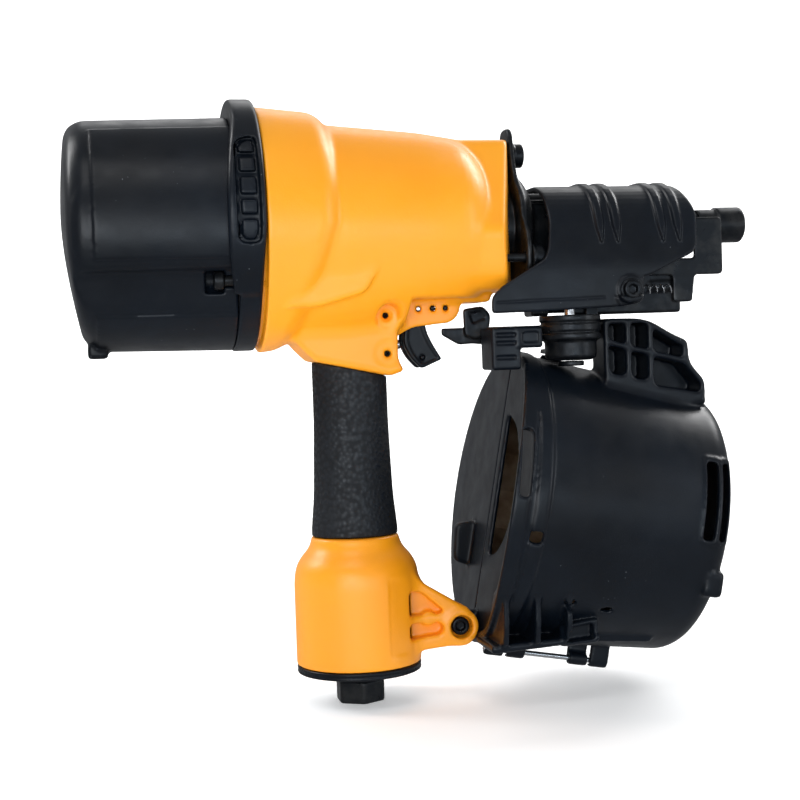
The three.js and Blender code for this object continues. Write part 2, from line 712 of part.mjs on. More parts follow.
// The rim of the fixed half, which reaches further back the nearer it is to the side.
function nearRim() {
  const [inner, outer] = [CANISTER_RADIUS - 4, CANISTER_RADIUS];
  const rim = turnedX([[-13, inner], [-13, outer], [8, outer], [8, inner], [-13, inner]]);
  const behind = [[-20, 1], [-2, 1], [-2, -33], [-12.8, -outer - 1], [-20, -outer - 1]];
  const wedge = solid(extruded(behind, 3 * outer).translate(0, 0, -1.5 * outer));
  return halfOf(cut(rim, wedge), -1);
}

function canisterBody() {
  const shell = joined(cut(halfOf(canisterShell(), -1), rearOpening()), nearRim());
  const hub = ring([CANISTER_LENGTH - CANISTER_WALL, CANISTER_LENGTH], [5.4, HUB_RADIUS], MEDIUM);
  const outer = halfOf(inCanister(joined(canisterBracket(), lowerFlange())), -1);
  const outside = cut(outer, turnedX([
    [-0.1, 0], [-0.1, 84], [8, 83.6], [110, 76.2], [118, 70], [118, 0],
  ]));
  const made = joined(shell, hub, outside, ...hingeKnuckles([22, 74], -1));
  const boltHole = inCanister(rod('y', ARM_BOLT_HOLE, [-9, 0], ARM_BOLT));
  const postHole = rod('x', 5.4, [110, 125], [0, 0], MEDIUM);
  const pinHole = rod('x', CANISTER_PIN_HOLE, [21, 87], [0, CANISTER_HINGE_Z]);
  return cut(made, pinHole, boltHole, postHole);
}

function canisterDoor() {
  const shell = cut(halfOf(canisterShell(), 1), rod('x', HUB_RADIUS + 0.6, [110, 130], [0, 0], MEDIUM));
  const lip = block([18, 32], [2.5, 5], [80, 86.6]);
  const made = joined(shell, lip, ...hingeKnuckles([9, 61], 1));
  return cut(made, rod('x', CANISTER_PIN_HOLE, [8, 74], [0, CANISTER_HINGE_Z]));
}

// A thin wear plate that lines the door's wall.
function doorLiner() {
  const sheet = turnedX([[8, 79.6], [8, 80.8], [104, 73.8], [104, 72.6], [8, 79.6]], MEDIUM);
  return sheet.intersect(block([0, 120], [12, 90], [-70, 70]));
}

function platformPost() {
  const stem = rod('x', 5, [22, 119], [0, 0], MEDIUM);
  return joined(stem, rod('x', 10, [113, 116.2], [0, 0], MEDIUM));
}

function nailPlatform() {
  const hub = ring([66, 80], [5.5, 12], MEDIUM);
  return joined(hub, ring([70, 73], [11, 62], FINE));
}

function canisterLatch() {
  const clip = crossPlate([[-11, 86.2, 1], [-5, 87.4], [8.5, 87.4], [8.5, 90, 1], [-9, 90.6, 2]], [19, 31]);
  return cut(clip, rod('x', 1.3, [18, 32], [-8.4, 88.4]));
}

// ---- Handle pieces -----------------------------------------------------------------------

function gripSleeve() {
  const outside = turnedZ([
    [GRIP_BOTTOM, 0], [GRIP_BOTTOM, 25], [-168, 24.6], [-150, 23], [-110, 21.6], [-68, 21.6], [-68, 0],
  ], HANDLE_X, 0, MEDIUM + 8, GRIP_ASPECT);
  const inside = turnedZ([[-180, 0], [-180, CORE_RX + GAP], [-60, CORE_RX + GAP], [-60, 0]],
    HANDLE_X, 0, MEDIUM, (CORE_RY + GAP) / (CORE_RX + GAP));
  const above = sidePlate([[-130, -71.3], [-60, -86.7], [-60, -50], [-130, -50]], [-40, 40]);
  return cut(outside, inside, above);
}

function endCap() {
  return turnedZ([
    [-257, 7], [-257, 17], [-252, 30], [-252, LOWER_RADIUS], [LOWER_BOTTOM - GAP, LOWER_RADIUS],
    [LOWER_BOTTOM - GAP, LOWER_BORE - 1], [-243, LOWER_BORE - 1], [-243, 7], [-257, 7],
  ], HANDLE_X, 0, MEDIUM + 8);
}

function airFitting() {
  const radius = FITTING_ACROSS_FLATS / Math.sqrt(3);
  const hexagon = rod('z', radius, [FITTING_BOTTOM, -257.3], [HANDLE_X, 0], 6);
  return cut(hexagon, rod('z', 6, [FITTING_BOTTOM - 1, -250], [HANDLE_X, 0], MEDIUM));
}

function armBolt() {
  return joined(
    rod('y', 5.2, [-18, -13.3], ARM_BOLT, MEDIUM),
    rod('y', ARM_BOLT_RADIUS, [-13.4, 4], ARM_BOLT),
  );
}

function armNut() {
  const hexagon = rod('y', 6, [-0.9, 3.9], ARM_BOLT, 6);
  return cut(hexagon, rod('y', ARM_BOLT_RADIUS + GAP, [-2, 5], ARM_BOLT));
}

// ---- Assembly ----------------------------------------------------------------------------

piece('housing', housing(), orangePaint);
piece('grip_sleeve', gripSleeve(), gripRubber);
piece('end_cap', endCap(), blackPlastic);
piece('air_fitting', airFitting(), blackSteel);
piece('rear_cap', rearCap(), blackPlastic);
piece('cap_gasket', capGasket(), sealRubber);
piece('exhaust_deflector', exhaustDeflector(), blackPlastic);
CAP_BOLT_ANGLES.forEach((angle, i) => piece(`cap_bolt_${i + 1}`, capBolt(angle), blackSteel));

piece('cylinder_sleeve', cylinderSleeve(), aluminium);
piece('bumper', ring([-36, -FRONT_WALL - GAP], [8, PISTON_RADIUS], MEDIUM), sealRubber);
piece('piston', piston(), aluminium);
piece('piston_ring', ring([-183.7, -179.3], [27.7, 29.7], MEDIUM), sealRubber);
piece('driver_blade', rod('x', BLADE_RADIUS, [-171.7, BLADE_TIP], [0, 0]), brightSteel);
piece('head_valve', headValve(), aluminium);
piece('head_valve_seal', ring([-193.7, SLEEVE_REAR - GAP], [28, 37], MEDIUM), sealRubber);
piece('head_valve_spring', coilSpring(30, 1.2, [-231.7, -212.3], 4), brightSteel);

piece('nosepiece', nosepiece(), blackSteel);
NOSE_BOLTS.forEach((place, i) => piece(`nose_bolt_${i + 1}`, noseBolt(place), blackSteel));
piece('nose_cover', noseCover(), blackPlastic);
piece('cover_screw', coverScrew(), blackSteel);
piece('nose_door', noseDoor(), blackSteel);
piece('nose_door_pin', rod('x', DOOR_PIN_RADIUS, [13.5, 102.5], DOOR_HINGE), brightSteel);
piece('nose_door_latch', noseDoorLatch(), blackSteel);
piece('contact_tip', contactTip(), blackSteel);
piece('contact_arm', contactArm(), blackSteel);

piece('trigger', trigger(), blackPlastic);
piece('trigger_pin', rod('y', PIN_RADIUS, PIN_SPAN, TRIGGER_PIVOT), brightSteel);
piece('trigger_lever', triggerLever(), blackSteel);
piece('trigger_lever_pin', rod('y', SMALL_PIN_RADIUS, [-7.8, 7.8], LEVER_PIVOT), blackSteel);
GUIDE_PINS.forEach((place, i) => {
  piece(`guide_pin_${i + 1}`, rod('y', GUIDE_PIN_RADIUS, PIN_SPAN, place), blackSteel);
});
ROLL_PINS.forEach((place, i) => {
  piece(`roll_pin_${i + 1}`, rod('y', PIN_RADIUS, [-20, 20], place), blackSteel);
});
piece('valve_body', valveBody(), blackPlastic);
piece('valve_stem', valveStem(), brightSteel);

const contactSpring = piece('contact_spring', coilSpring(2.5, 0.5, [65.5, 97.5], 7), brightSteel);
contactSpring.position.set(0, -14.5, -38);

const valveSpring = coilSpring(3.6, 0.5, [-96.5, -88.3], 4);
piece('valve_spring', valveSpring, brightSteel).position.set(0, 0, VALVE_Z);

piece('feed_cylinder', feedCylinder(), blackSteel);
piece('feed_plug', rod('z', 7.5, [-81.2, FEED_BOTTOM - GAP], [FEED_X, FEED_Y], MEDIUM), blackSteel);
piece('feed_piston', feedPiston(), aluminium);
piece('feed_slide', feedSlide(), blackSteel);
piece('feed_pawl', feedPawl(), brightSteel);
piece('pawl_pin', rod('x', SMALL_PIN_RADIUS, [20, 34], PAWL_PIVOT), brightSteel);
piece('magazine_mount', magazineMount(), blackPlastic);

const feedSpring = piece('feed_spring', coilSpring(10, 0.7, [-73.7, -60.3], 4), brightSteel);
feedSpring.position.set(FEED_X, FEED_Y, 0);
feedSpring.rotation.y = -Math.PI / 2;

piece('canister_body', canisterBody(), blackPlastic, canister);
piece('canister_door', canisterDoor(), blackPlastic, canister);
const hingePin = rod('x', CANISTER_PIN_RADIUS, [8.5, 86.5], [0, CANISTER_HINGE_Z]);
piece('canister_hinge_pin', hingePin, brightSteel, canister);
piece('canister_latch', canisterLatch(), blackSteel, canister);
piece('door_liner', doorLiner(), tanSteel, canister);
piece('platform_post', platformPost(), brightSteel, canister);
piece('nail_platform', nailPlatform(), blackPlastic, canister);
piece('arm_bolt', armBolt(), blackSteel);
piece('arm_nut', armNut(), blackSteel);

tool.position.set(-(CAP_REAR + TIP_FRONT) / 2, 0, -FITTING_BOTTOM);

export default tool;
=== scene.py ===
"""Looks of a pneumatic coil nailer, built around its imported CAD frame.

Castings and mouldings are made as signed distance fields, in millimetres about the drive axis:
x runs towards the muzzle, z is up, and the flange of the nose is at x = 0. Each field is turned
into a mesh of quads and then moved into the frame, in metres.
"""

import json
import math

import bpy
import numpy as np
from mathutils import Matrix, Vector


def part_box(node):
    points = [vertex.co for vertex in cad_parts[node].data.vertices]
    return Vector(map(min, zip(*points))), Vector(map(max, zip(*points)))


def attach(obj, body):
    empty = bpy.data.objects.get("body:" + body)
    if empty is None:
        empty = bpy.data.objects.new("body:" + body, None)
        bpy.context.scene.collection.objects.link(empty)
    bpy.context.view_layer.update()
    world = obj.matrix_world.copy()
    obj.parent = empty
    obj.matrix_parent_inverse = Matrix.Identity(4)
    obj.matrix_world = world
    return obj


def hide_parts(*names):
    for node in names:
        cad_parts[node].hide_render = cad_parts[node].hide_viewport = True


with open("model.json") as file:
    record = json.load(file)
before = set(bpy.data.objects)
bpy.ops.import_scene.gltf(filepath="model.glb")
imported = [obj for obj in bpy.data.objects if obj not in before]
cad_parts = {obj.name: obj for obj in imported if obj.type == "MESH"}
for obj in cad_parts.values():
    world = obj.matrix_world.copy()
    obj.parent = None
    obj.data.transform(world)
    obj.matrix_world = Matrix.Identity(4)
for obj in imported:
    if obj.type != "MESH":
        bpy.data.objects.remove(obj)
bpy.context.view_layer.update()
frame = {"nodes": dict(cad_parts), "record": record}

# ---- Driving dimensions, in millimetres ----

MM = 0.001
FAR = 1e3  # further than any surface
GAP = 0.3  # between two pieces that touch
TIP_FRONT = 147

# Lines across the tool are given as (x, z), lines along it as (y, z), upright ones as (x, y).
HANDLE_X = -96.5
HANDLE = (HANDLE_X, 0)
HANDLE_BOTTOM = -247.3
GRIP_ASPECT = 0.85  # the grip's depth to its width
ROLL_PINS = [(-78, -49), (-77.6, -70.5)]
TRIGGER_PIVOT = (-57, -45.5)
GUIDE_PINS = [(-48.5, -45.5), (-41, -45.5)]
GUIDE_PIN_HOLE = 1.8
LEVER_PIVOT = (-54.5, -73.5)
LEVER_PIN_HOLE = 1.5
VALVE_Z = -65.5
VALVE = (0, VALVE_Z)
ARM_BOLT = (-39.7, -228.6)
ARM_BOLT_HOLE = 3.4
NOSE_BOLTS = [(0, 42.5), (35, -19), (-35, -19)]
NOSE_BOLT_HOLE = 2.7
CAP_BOLT_CIRCLE = 57.5
CAP_BOLT_ANGLES = [90, 210, 330]
CAP_REAR = -255
CAP_FRONT = -163.3

DRIVE = (0, 0)
COVER_SCREW = (58.5, -39)
COVER_SCREW_HOLE = 2.7
COVER_SKIN = 2.7
DOOR_HINGE = (11, 17)
DOOR_KNUCKLE = 4.5
DOOR_PIN_HOLE = 2.3
FEED = (27, -31)

CANISTER_X = -14
CANISTER_Z = -156
CANISTER_TILT = math.radians(10.7)
CANISTER_HINGE = (0, -89.8)
DRUM_RADIUS = 86
DRUM_LENGTH = 119.5
DRUM_AXIS = (0, 0)

sleeve_low, sleeve_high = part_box("cylinder_sleeve")
ORIGIN = Vector((
    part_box("contact_tip")[1].x - TIP_FRONT * MM,
    (sleeve_low.y + sleeve_high.y) / 2,
    (sleeve_low.z + sleeve_high.z) / 2,
))
TO_FRAME = Matrix.Translation(ORIGIN) @ Matrix.Scale(MM, 4)
CANISTER_FRAME = (
    TO_FRAME
    @ Matrix.Translation((CANISTER_X, 0, CANISTER_Z))
    @ Matrix.Rotation(CANISTER_TILT, 4, "Y")
)

# ---- Distances ----


def meet(a, b, fillet=0.0):
    """The part common to two solids, its new edge rounded."""
    if fillet <= 0:
        return np.maximum(a, b)
    corner = np.hypot(np.maximum(a + fillet, 0), np.maximum(b + fillet, 0))
    return np.minimum(np.maximum(a, b), -fillet) + corner


def join(a, b, fillet=0.0):
    """Two solids as one, with a fillet in the corner between them."""
    return -meet(-a, -b, fillet)


def around(angle, radius):
    """A point across an axis, at an angle in degrees from the first direction to the second."""
    turn = math.radians(angle)
    return radius * math.cos(turn), radius * math.sin(turn)


def box_about(axis, place, reach, span):
    """Two corners of a box round a line along an axis."""
    low = [place[0] - reach, place[1] - reach]
    high = [place[0] + reach, place[1] + reach]
    at = "xyz".index(axis)
    low.insert(at, span[0])
    high.insert(at, span[1])
    return low, high


def beyond(w, span):
    """Distance outside a span of one coordinate, negative within it."""
    middle, half = (span[0] + span[1]) / 2, (span[1] - span[0]) / 2
    return np.abs(w - middle) - half


def split(axis, x, y, z):
    """The coordinate along an axis, and the two across it in order."""
    return {"x": (x, y, z), "y": (y, x, z), "z": (z, x, y)}[axis]


def outlined(corners, steps=5):
    """A closed outline from corners of (u, v) or (u, v, radius)."""
    points = []
    for i, corner in enumerate(corners):
        here = np.array(corner[:2], float)
        radius = corner[2] if len(corner) > 2 else 0
        if radius == 0:
            points.append(tuple(here))
            continue
        before = np.array(corners[i - 1][:2], float) - here
        after = np.array(corners[(i + 1) % len(corners)][:2], float) - here
        start = here + before * radius / np.hypot(*before)
        end = here + after * radius / np.hypot(*after)
        for t in np.linspace(0, 1, steps):
            points.append(tuple((1 - t) ** 2 * start + 2 * t * (1 - t) * here + t**2 * end))
    return points


def outline_distance(u, v, points):
    """Distance from (u, v) to a closed outline, negative inside."""
    nearest = None
    inside = False
    for (u0, v0), (u1, v1) in zip(points, points[1:] + points[:1]):
        du, dv = u1 - u0, v1 - v0
        length = du * du + dv * dv
        if length < 1e-9:
            continue
        t = np.clip(((u - u0) * du + (v - v0) * dv) / length, 0, 1)
        gap = (u - u0 - t * du) ** 2 + (v - v0 - t * dv) ** 2
        nearest = gap if nearest is None else np.minimum(nearest, gap)
        if v0 != v1:
            crosses = ((v0 > v) != (v1 > v)) & (u < u0 + (v - v0) * du / dv)
            inside = inside ^ crosses
    return np.where(inside, -1, 1).astype(np.float32) * np.sqrt(nearest).astype(np.float32)


def plate(corners, span, axis="y", edge=0.0):
    """An outline across an axis, extruded over a span of it."""
    points = outlined(corners)

    def distance(x, y, z):
        w, u, v = split(axis, x, y, z)
        return meet(outline_distance(u, v, points), beyond(w, span), edge)

    return distance


def turned(profile, axis="x", centre=(0, 0), aspect=1.0):
    """A round from a profile of (along, radius), optionally flattened in its second direction."""
    points = outlined(profile)
    points = points + [(along, -radius) for along, radius in reversed(points)]

    def distance(x, y, z):
        w, a, b = split(axis, x, y, z)
        radius = np.hypot(a - centre[0], (b - centre[1]) / aspect)
        step = 0.25
        reach = np.arange(0, radius.max() + 2 * step, step, dtype=np.float32)
        table = outline_distance(w.reshape(1, -1), reach.reshape(-1, 1), points)
        place = np.squeeze(radius) / step
        low = place.astype(int)
        part = (place - low)[..., None].astype(np.float32)
        flat = table[low] * (1 - part) + table[low + 1] * part
        return np.moveaxis(flat, -1, "xyz".index(axis))

    return distance


def rod(axis, centre, radius, span, edge=0.0):
    """A round bar along an axis."""

    def distance(x, y, z):
        w, a, b = split(axis, x, y, z)
        across = np.hypot(a - centre[0], b - centre[1]) - radius
        return meet(across, beyond(w, span), edge)

    return distance


def prism(axis, centre, across_flats, span, edge=0.0):
    """A hexagonal bar."""

    def distance(x, y, z):
        w, a, b = split(axis, x, y, z)
        flats = [
            np.abs((a - centre[0]) * math.cos(k * math.pi / 3)
                   + (b - centre[1]) * math.sin(k * math.pi / 3)) - across_flats / 2
            for k in range(3)
        ]
        across = meet(meet(flats[0], flats[1], edge), flats[2], edge)
        return meet(across, beyond(w, span), edge)

    return distance


def slab(low, high, edge=0.0):
    """A block with rounded edges."""

    def distance(x, y, z):
        across = [beyond(w, span) for w, span in zip((x, y, z), zip(low, high))]
        return meet(meet(across[0], across[1], edge), across[2], edge)

    return distance


def either(*shapes):
    """Several shapes as one."""

    def distance(x, y, z):
        whole = shapes[0](x, y, z)
        for shape in shapes[1:]:
            whole = join(whole, shape(x, y, z))
        return whole

    return distance


class Field:
    """Signed distances over a block of space, negative inside the solid."""

    def __init__(self, low, high, step):
        self.step = step
        self.low = np.array(low, np.float32)
        ends = zip(low, high)
        self.axes = [np.arange(a, b + step, step, dtype=np.float32) for a, b in ends]
        self.values = np.full([len(a) for a in self.axes], FAR, np.float32)

    def _near(self, box):
        if box is None:
            return tuple(slice(None) for _ in self.axes)
        ranges = zip(self.axes, box[0], box[1])
        return tuple(slice(*np.searchsorted(a, [low, high])) for a, low, high in ranges)

    def _distance(self, shape, near):
        x, y, z = (a[part] for a, part in zip(self.axes, near))
        return shape(x[:, None, None], y[None, :, None], z[None, None, :])

    def add(self, shape, fillet=0.0, box=None):
        near = self._near(box)
        self.values[near] = join(self.values[near], self._distance(shape, near), fillet)
        return self

    def cut(self, shape, fillet=0.0, box=None):
        near = self._near(box)
        self.values[near] = meet(self.values[near], -self._distance(shape, near), fillet)
        return self

    def keep(self, shape, fillet=0.0):
        near = self._near(None)
        self.values[near] = meet(self.values[near], self._distance(shape, near), fillet)
        return self

    def engrave(self, shape, depth, fillet=0.0, box=None):
        """Sinks the surface by a depth wherever the shape covers it."""
        near = self._near(box)
        values = self.values[near]
        sunk = meet(self._distance(shape, near), -(values + depth))
        self.values[near] = meet(values, -sunk, fillet)
        return self

    def emboss(self, shape, height, edge=0.0, box=None):
        """Raises the surface by a height wherever the shape covers it."""
        near = self._near(box)
        values = self.values[near]
        raised = meet(self._distance(shape, near), values - height, edge)
        self.values[near] = join(values, raised, edge)
        return self

    def pebble(self, cell, height, seed=3):
        """Covers the surface with rounded bumps of about a cell's size."""
        near = np.argwhere(np.abs(self.values) < 2 * height + self.step)
        points = near * self.step / cell
        home = np.floor(points).astype(int)
        table = np.random.default_rng(seed).random((32, 32, 32, 3))
        nearest = np.full(len(points), 9.0)
        for offset in np.ndindex(3, 3, 3):
            cell_at = home + np.array(offset) - 1
            centre = cell_at + table[tuple((cell_at % 32).T)]
            nearest = np.minimum(nearest, ((points - centre) ** 2).sum(1))
        self.values[tuple(near.T)] += (height * np.minimum(nearest / 0.5, 1)).astype(np.float32)
        return self


# ---- Meshes ----

CORNERS = [(i, j, k) for i in (0, 1) for j in (0, 1) for k in (0, 1)]


def crossing_points(values, cells):
    """The mean of the points where the surface crosses a cell's edges, for each cell."""
    total = np.zeros((len(cells), 3), np.float64)
    crossings = np.zeros(len(cells))
    for corner in CORNERS:
        for axis in range(3):
            if corner[axis]:
                continue
            other = np.array(corner)
            other[axis] = 1
            a = values[tuple((cells + corner).T)]
            b = values[tuple((cells + other).T)]
            crossed = (a < 0) != (b < 0)
            t = np.zeros(len(cells))
            t[crossed] = a[crossed] / (a[crossed] - b[crossed])
            point = np.array(corner, float) + np.outer(t, other - np.array(corner))
            total += point * crossed[:, None]
            crossings += crossed
    return cells + total / crossings[:, None]


def crossing_quads(inside, index):
    """A quad of four cells round every grid edge that the surface crosses."""
    quads = []
    for axis in range(3):
        b, c = (axis + 1) % 3, (axis + 2) % 3
        lower = [slice(None)] * 3
        upper = [slice(None)] * 3
        lower[axis], upper[axis] = slice(0, -1), slice(1, None)
        changed = np.argwhere(inside[tuple(lower)] != inside[tuple(upper)])
        ring = []
        for db, dc in ((-1, -1), (0, -1), (0, 0), (-1, 0)):
            cell = changed.copy()
            cell[:, b] += db
            cell[:, c] += dc
            ring.append(index[tuple(cell.T)])
        faces = np.stack(ring, 1)
        outward = inside[tuple(changed.T)]
        quads.append(np.where(outward[:, None], faces, faces[:, ::-1]))
    return np.concatenate(quads)


def relaxed(points, quads, rounds=2, share=0.5):
    """Points moved part of the way to the middle of their neighbours."""
    ends = np.concatenate([quads[:, [i, (i + 1) % 4]] for i in range(4)])
    degree = np.bincount(ends[:, 0], minlength=len(points))
    for _ in range(rounds):
        middle = np.stack([
            np.bincount(ends[:, 0], points[ends[:, 1], i], len(points)) for i in range(3)
        ], 1) / np.maximum(degree, 1)[:, None]
        points = points * (1 - share) + middle * share
    return points


def surface_net(field):
    """The zero surface of a field, as points in millimetres and quads."""
    values = np.pad(field.values, 1, constant_values=FAR)
    sizes = np.array(values.shape) - 1
    inside = values < 0
    count = np.zeros(sizes, np.int8)
    for i, j, k in CORNERS:
        count += inside[i:sizes[0] + i, j:sizes[1] + j, k:sizes[2] + k]
    cells = np.argwhere((count > 0) & (count < 8))
    index = np.full(sizes, -1, np.int64)
    index[tuple(cells.T)] = np.arange(len(cells))
    quads = crossing_quads(inside, index)
    points = relaxed(crossing_points(values, cells), quads)
    return field.low + (points - 1) * field.step, quads


def mesh_of(name, points, faces, place):
    """A smooth mesh in the frame, from points in millimetres and faces of equal size."""
    world = np.array(place)
    points = points @ world[:3, :3].T + world[:3, 3]
    mesh = bpy.data.meshes.new(name)
    size = faces.shape[1]
    mesh.vertices.add(len(points))
    mesh.vertices.foreach_set("co", points.astype(np.float32).ravel())
    mesh.loops.add(faces.size)
    mesh.loops.foreach_set("vertex_index", faces.astype(np.int32).ravel())
    mesh.polygons.add(len(faces))
    mesh.polygons.foreach_set("loop_start", np.arange(0, faces.size, size, dtype=np.int32))
    mesh.update(calc_edges=True)
    mesh.validate()
    mesh.shade_smooth()
    return mesh


BODY_OF = {
    node: body
    for body, nodes in frame["record"]["behaviour"]["bodies"].items()
    for node in nodes
}
SLOT_OF = {part["node"]: part["material_slot"] for part in frame["record"]["subparts"]}


def piece(node, field, place=TO_FRAME):
    """A visible piece made from a field, in place of a CAD node."""
    name = f"{node}_shape"
    slot = SLOT_OF[node]
    points, quads = surface_net(field)
    made = bpy.data.objects.new(name, mesh_of(name, points, quads, place))
    bpy.context.scene.collection.objects.link(made)
    made.data.materials.append(FINISHES[slot])
    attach(made, BODY_OF[node])
    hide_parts(node)
    return made


# ---- Materials ----


CONTRAST = (0.3, 0.7)  # the range of a noise texture that is stretched to its full effect


class Shader:
    """A node material that grows one socket at a time."""

    def __init__(self, name, color, roughness, metallic=0.0):
        self.material = bpy.data.materials.new(name)
        self.material.use_nodes = True
        self.nodes = self.material.node_tree.nodes
        self.links = self.material.node_tree.links
        self.bsdf = self.nodes["Principled BSDF"]
        self.bsdf.inputs["Base Color"].default_value = (*color, 1)
        self.bsdf.inputs["Roughness"].default_value = roughness
        self.bsdf.inputs["Metallic"].default_value = metallic
        self.place = self.nodes.new("ShaderNodeTexCoord").outputs["Object"]
        self.normal = None

    def noise(self, scale, detail=3.0, roughness=0.55, stretch=None):
        texture = self.nodes.new("ShaderNodeTexNoise")
        texture.inputs["Scale"].default_value = scale
        texture.inputs["Detail"].default_value = detail
        texture.inputs["Roughness"].default_value = roughness
        source = self.place
        if stretch:
            mapping = self.nodes.new("ShaderNodeMapping")
            mapping.inputs["Scale"].default_value = stretch
            self.links.new(source, mapping.inputs["Vector"])
            source = mapping.outputs["Vector"]
        self.links.new(source, texture.inputs["Vector"])
        return texture.outputs["Fac"]

    def cells(self, scale, feature="F1"):
        texture = self.nodes.new("ShaderNodeTexVoronoi")
        texture.feature = feature
        texture.inputs["Scale"].default_value = scale
        self.links.new(self.place, texture.inputs["Vector"])
        return texture.outputs["Distance"]

    def ranged(self, value, low, high, to_low, to_high):
        node = self.nodes.new("ShaderNodeMapRange")
        for key, number in zip(("From Min", "From Max", "To Min", "To Max"),
                               (low, high, to_low, to_high)):
            node.inputs[key].default_value = number
        self.links.new(value, node.inputs["Value"])
        return node.outputs["Result"]

    def mixed(self, factor, a, b):
        """A colour between a and b, either of which may be a socket."""
        node = self.nodes.new("ShaderNodeMix")
        node.data_type = "RGBA"
        self.links.new(factor, node.inputs["Factor"])
        for key, color in ((6, a), (7, b)):
            if isinstance(color, tuple):
                node.inputs[key].default_value = (*color, 1)
            else:
                self.links.new(color, node.inputs[key])
        return node.outputs[2]

    def color(self, socket):
        self.links.new(socket, self.bsdf.inputs["Base Color"])

    def rough(self, socket):
        self.links.new(socket, self.bsdf.inputs["Roughness"])

    def uneven(self, texture, low, high):
        """Lets the roughness wander between two values."""
        self.rough(self.ranged(texture, *CONTRAST, low, high))

    def bump(self, height, strength, distance):
        """Adds relief of a depth in metres."""
        node = self.nodes.new("ShaderNodeBump")
        node.inputs["Strength"].default_value = strength
        node.inputs["Distance"].default_value = distance
        self.links.new(height, node.inputs["Height"])
        if self.normal:
            self.links.new(self.normal, node.inputs["Normal"])
        self.normal = node.outputs["Normal"]
        self.links.new(self.normal, self.bsdf.inputs["Normal"])


def orange_paint():
    """Powder-coated casting: a warm orange with a faint orange-peel surface."""
    made = Shader("orange_paint", (1.0, 0.33, 0.012), 0.38)
    broad = made.ranged(made.noise(9, 2), *CONTRAST, 0, 1)
    made.color(made.mixed(broad, (1.0, 0.34, 0.006), (1.0, 0.39, 0.012)))
    made.uneven(made.noise(220, 2), 0.33, 0.45)
    made.bsdf.inputs["Coat Weight"].default_value = 0.15
    made.bsdf.inputs["Coat Roughness"].default_value = 0.3
    made.bump(made.noise(900, 2), 0.25, 0.0002)
    made.bump(made.noise(60, 3), 0.12, 0.0006)
    return made.material


def black_plastic():
    """Satin blue-black moulding with a fine grain and a few specks of dust."""
    made = Shader("black_plastic", (0.004, 0.006, 0.01), 0.36)
    tone = made.mixed(made.ranged(made.noise(14, 3), *CONTRAST, 0, 1),
                      (0.002, 0.003, 0.005), (0.004, 0.007, 0.012))
    made.bsdf.inputs["IOR"].default_value = 1.34
    specks = made.ranged(made.cells(240), 0.035, 0.06, 1, 0)
    sparse = made.ranged(made.noise(35, 1), 0.62, 0.66, 0, 1)
    dust = made.nodes.new("ShaderNodeMath")
    dust.operation = "MULTIPLY"
    made.links.new(specks, dust.inputs[0])
    made.links.new(sparse, dust.inputs[1])
    made.color(made.mixed(dust.outputs["Value"], tone, (0.2, 0.22, 0.24)))
    made.uneven(made.noise(70, 4), 0.28, 0.42)
    made.bump(made.noise(1400, 2), 0.3, 0.00015)
    return made.material


def grip_rubber():
    """Matt rubber with a pebbled grain, the hollows between its pebbles painted darker as shade."""
    made = Shader("grip_rubber", (0.012, 0.015, 0.02), 0.6)
    pebbles = made.cells(420, "SMOOTH_F1")
    # Painted shade: the colour darkens from the pebble tops down into the hollows between them.
    made.color(made.mixed(made.ranged(pebbles, 0.1, 0.6, 0, 1),
                          (0.006, 0.009, 0.014), (0.003, 0.0045, 0.007)))
    made.rough(made.ranged(pebbles, 0.1, 0.6, 0.42, 0.75))
    made.bump(made.ranged(pebbles, 0.0, 0.7, 1, 0), 0.6, 0.0004)
    return made.material


def seal_rubber():
    made = Shader("seal_rubber", (0.015, 0.015, 0.016), 0.7)
    made.uneven(made.noise(120, 3), 0.6, 0.8)
    made.bump(made.noise(500, 2), 0.3, 0.0002)
    return made.material


def black_steel():
    """Black-oxide steel with a thin oily sheen and worn spots."""
    made = Shader("black_steel", (0.02, 0.022, 0.026), 0.35, 0.6)
    made.color(made.mixed(made.ranged(made.noise(90, 4), 0.45, 0.75, 0, 1),
                          (0.006, 0.008, 0.011), (0.03, 0.03, 0.03)))
    made.uneven(made.noise(260, 4), 0.26, 0.46)
    made.bump(made.noise(1100, 3), 0.3, 0.00012)
    return made.material


def bright_steel():
    made = Shader("bright_steel", (0.62, 0.63, 0.65), 0.22, 1.0)
    made.uneven(made.noise(800, 3, stretch=(0.1, 1, 1)), 0.15, 0.34)
    made.bump(made.noise(1500, 2, stretch=(0.08, 1, 1)), 0.2, 0.00008)
    return made.material


def aluminium():
    made = Shader("aluminium", (0.55, 0.56, 0.58), 0.35, 1.0)
    made.uneven(made.noise(600, 3, stretch=(1, 0.1, 1)), 0.28, 0.48)
    made.bump(made.noise(1200, 2), 0.2, 0.0001)
    return made.material


def tan_steel():
    """Oil-tempered sheet with mottled heat colours."""
    made = Shader("tan_steel", (0.3, 0.17, 0.08), 0.42, 0.4)
    made.color(made.mixed(made.ranged(made.noise(60, 4), 0.35, 0.65, 0, 1),
                          (0.34, 0.2, 0.1), (0.6, 0.42, 0.27)))
    made.uneven(made.noise(150, 3), 0.34, 0.55)
    made.bump(made.noise(700, 3), 0.3, 0.00015)
    return made.material


FINISHES = {
    make.__name__: make()
    for make in (orange_paint, black_plastic, grip_rubber, seal_rubber, black_steel,
                 bright_steel, aluminium, tan_steel)
}


def dress_nodes():
    """Gives every CAD node that stays in view the procedural finish of its slot."""
    for node, slot in SLOT_OF.items():
        mesh = frame["nodes"][node].data
        mesh.materials.clear()
        mesh.materials.append(FINISHES[slot])


# ---- Housing ----


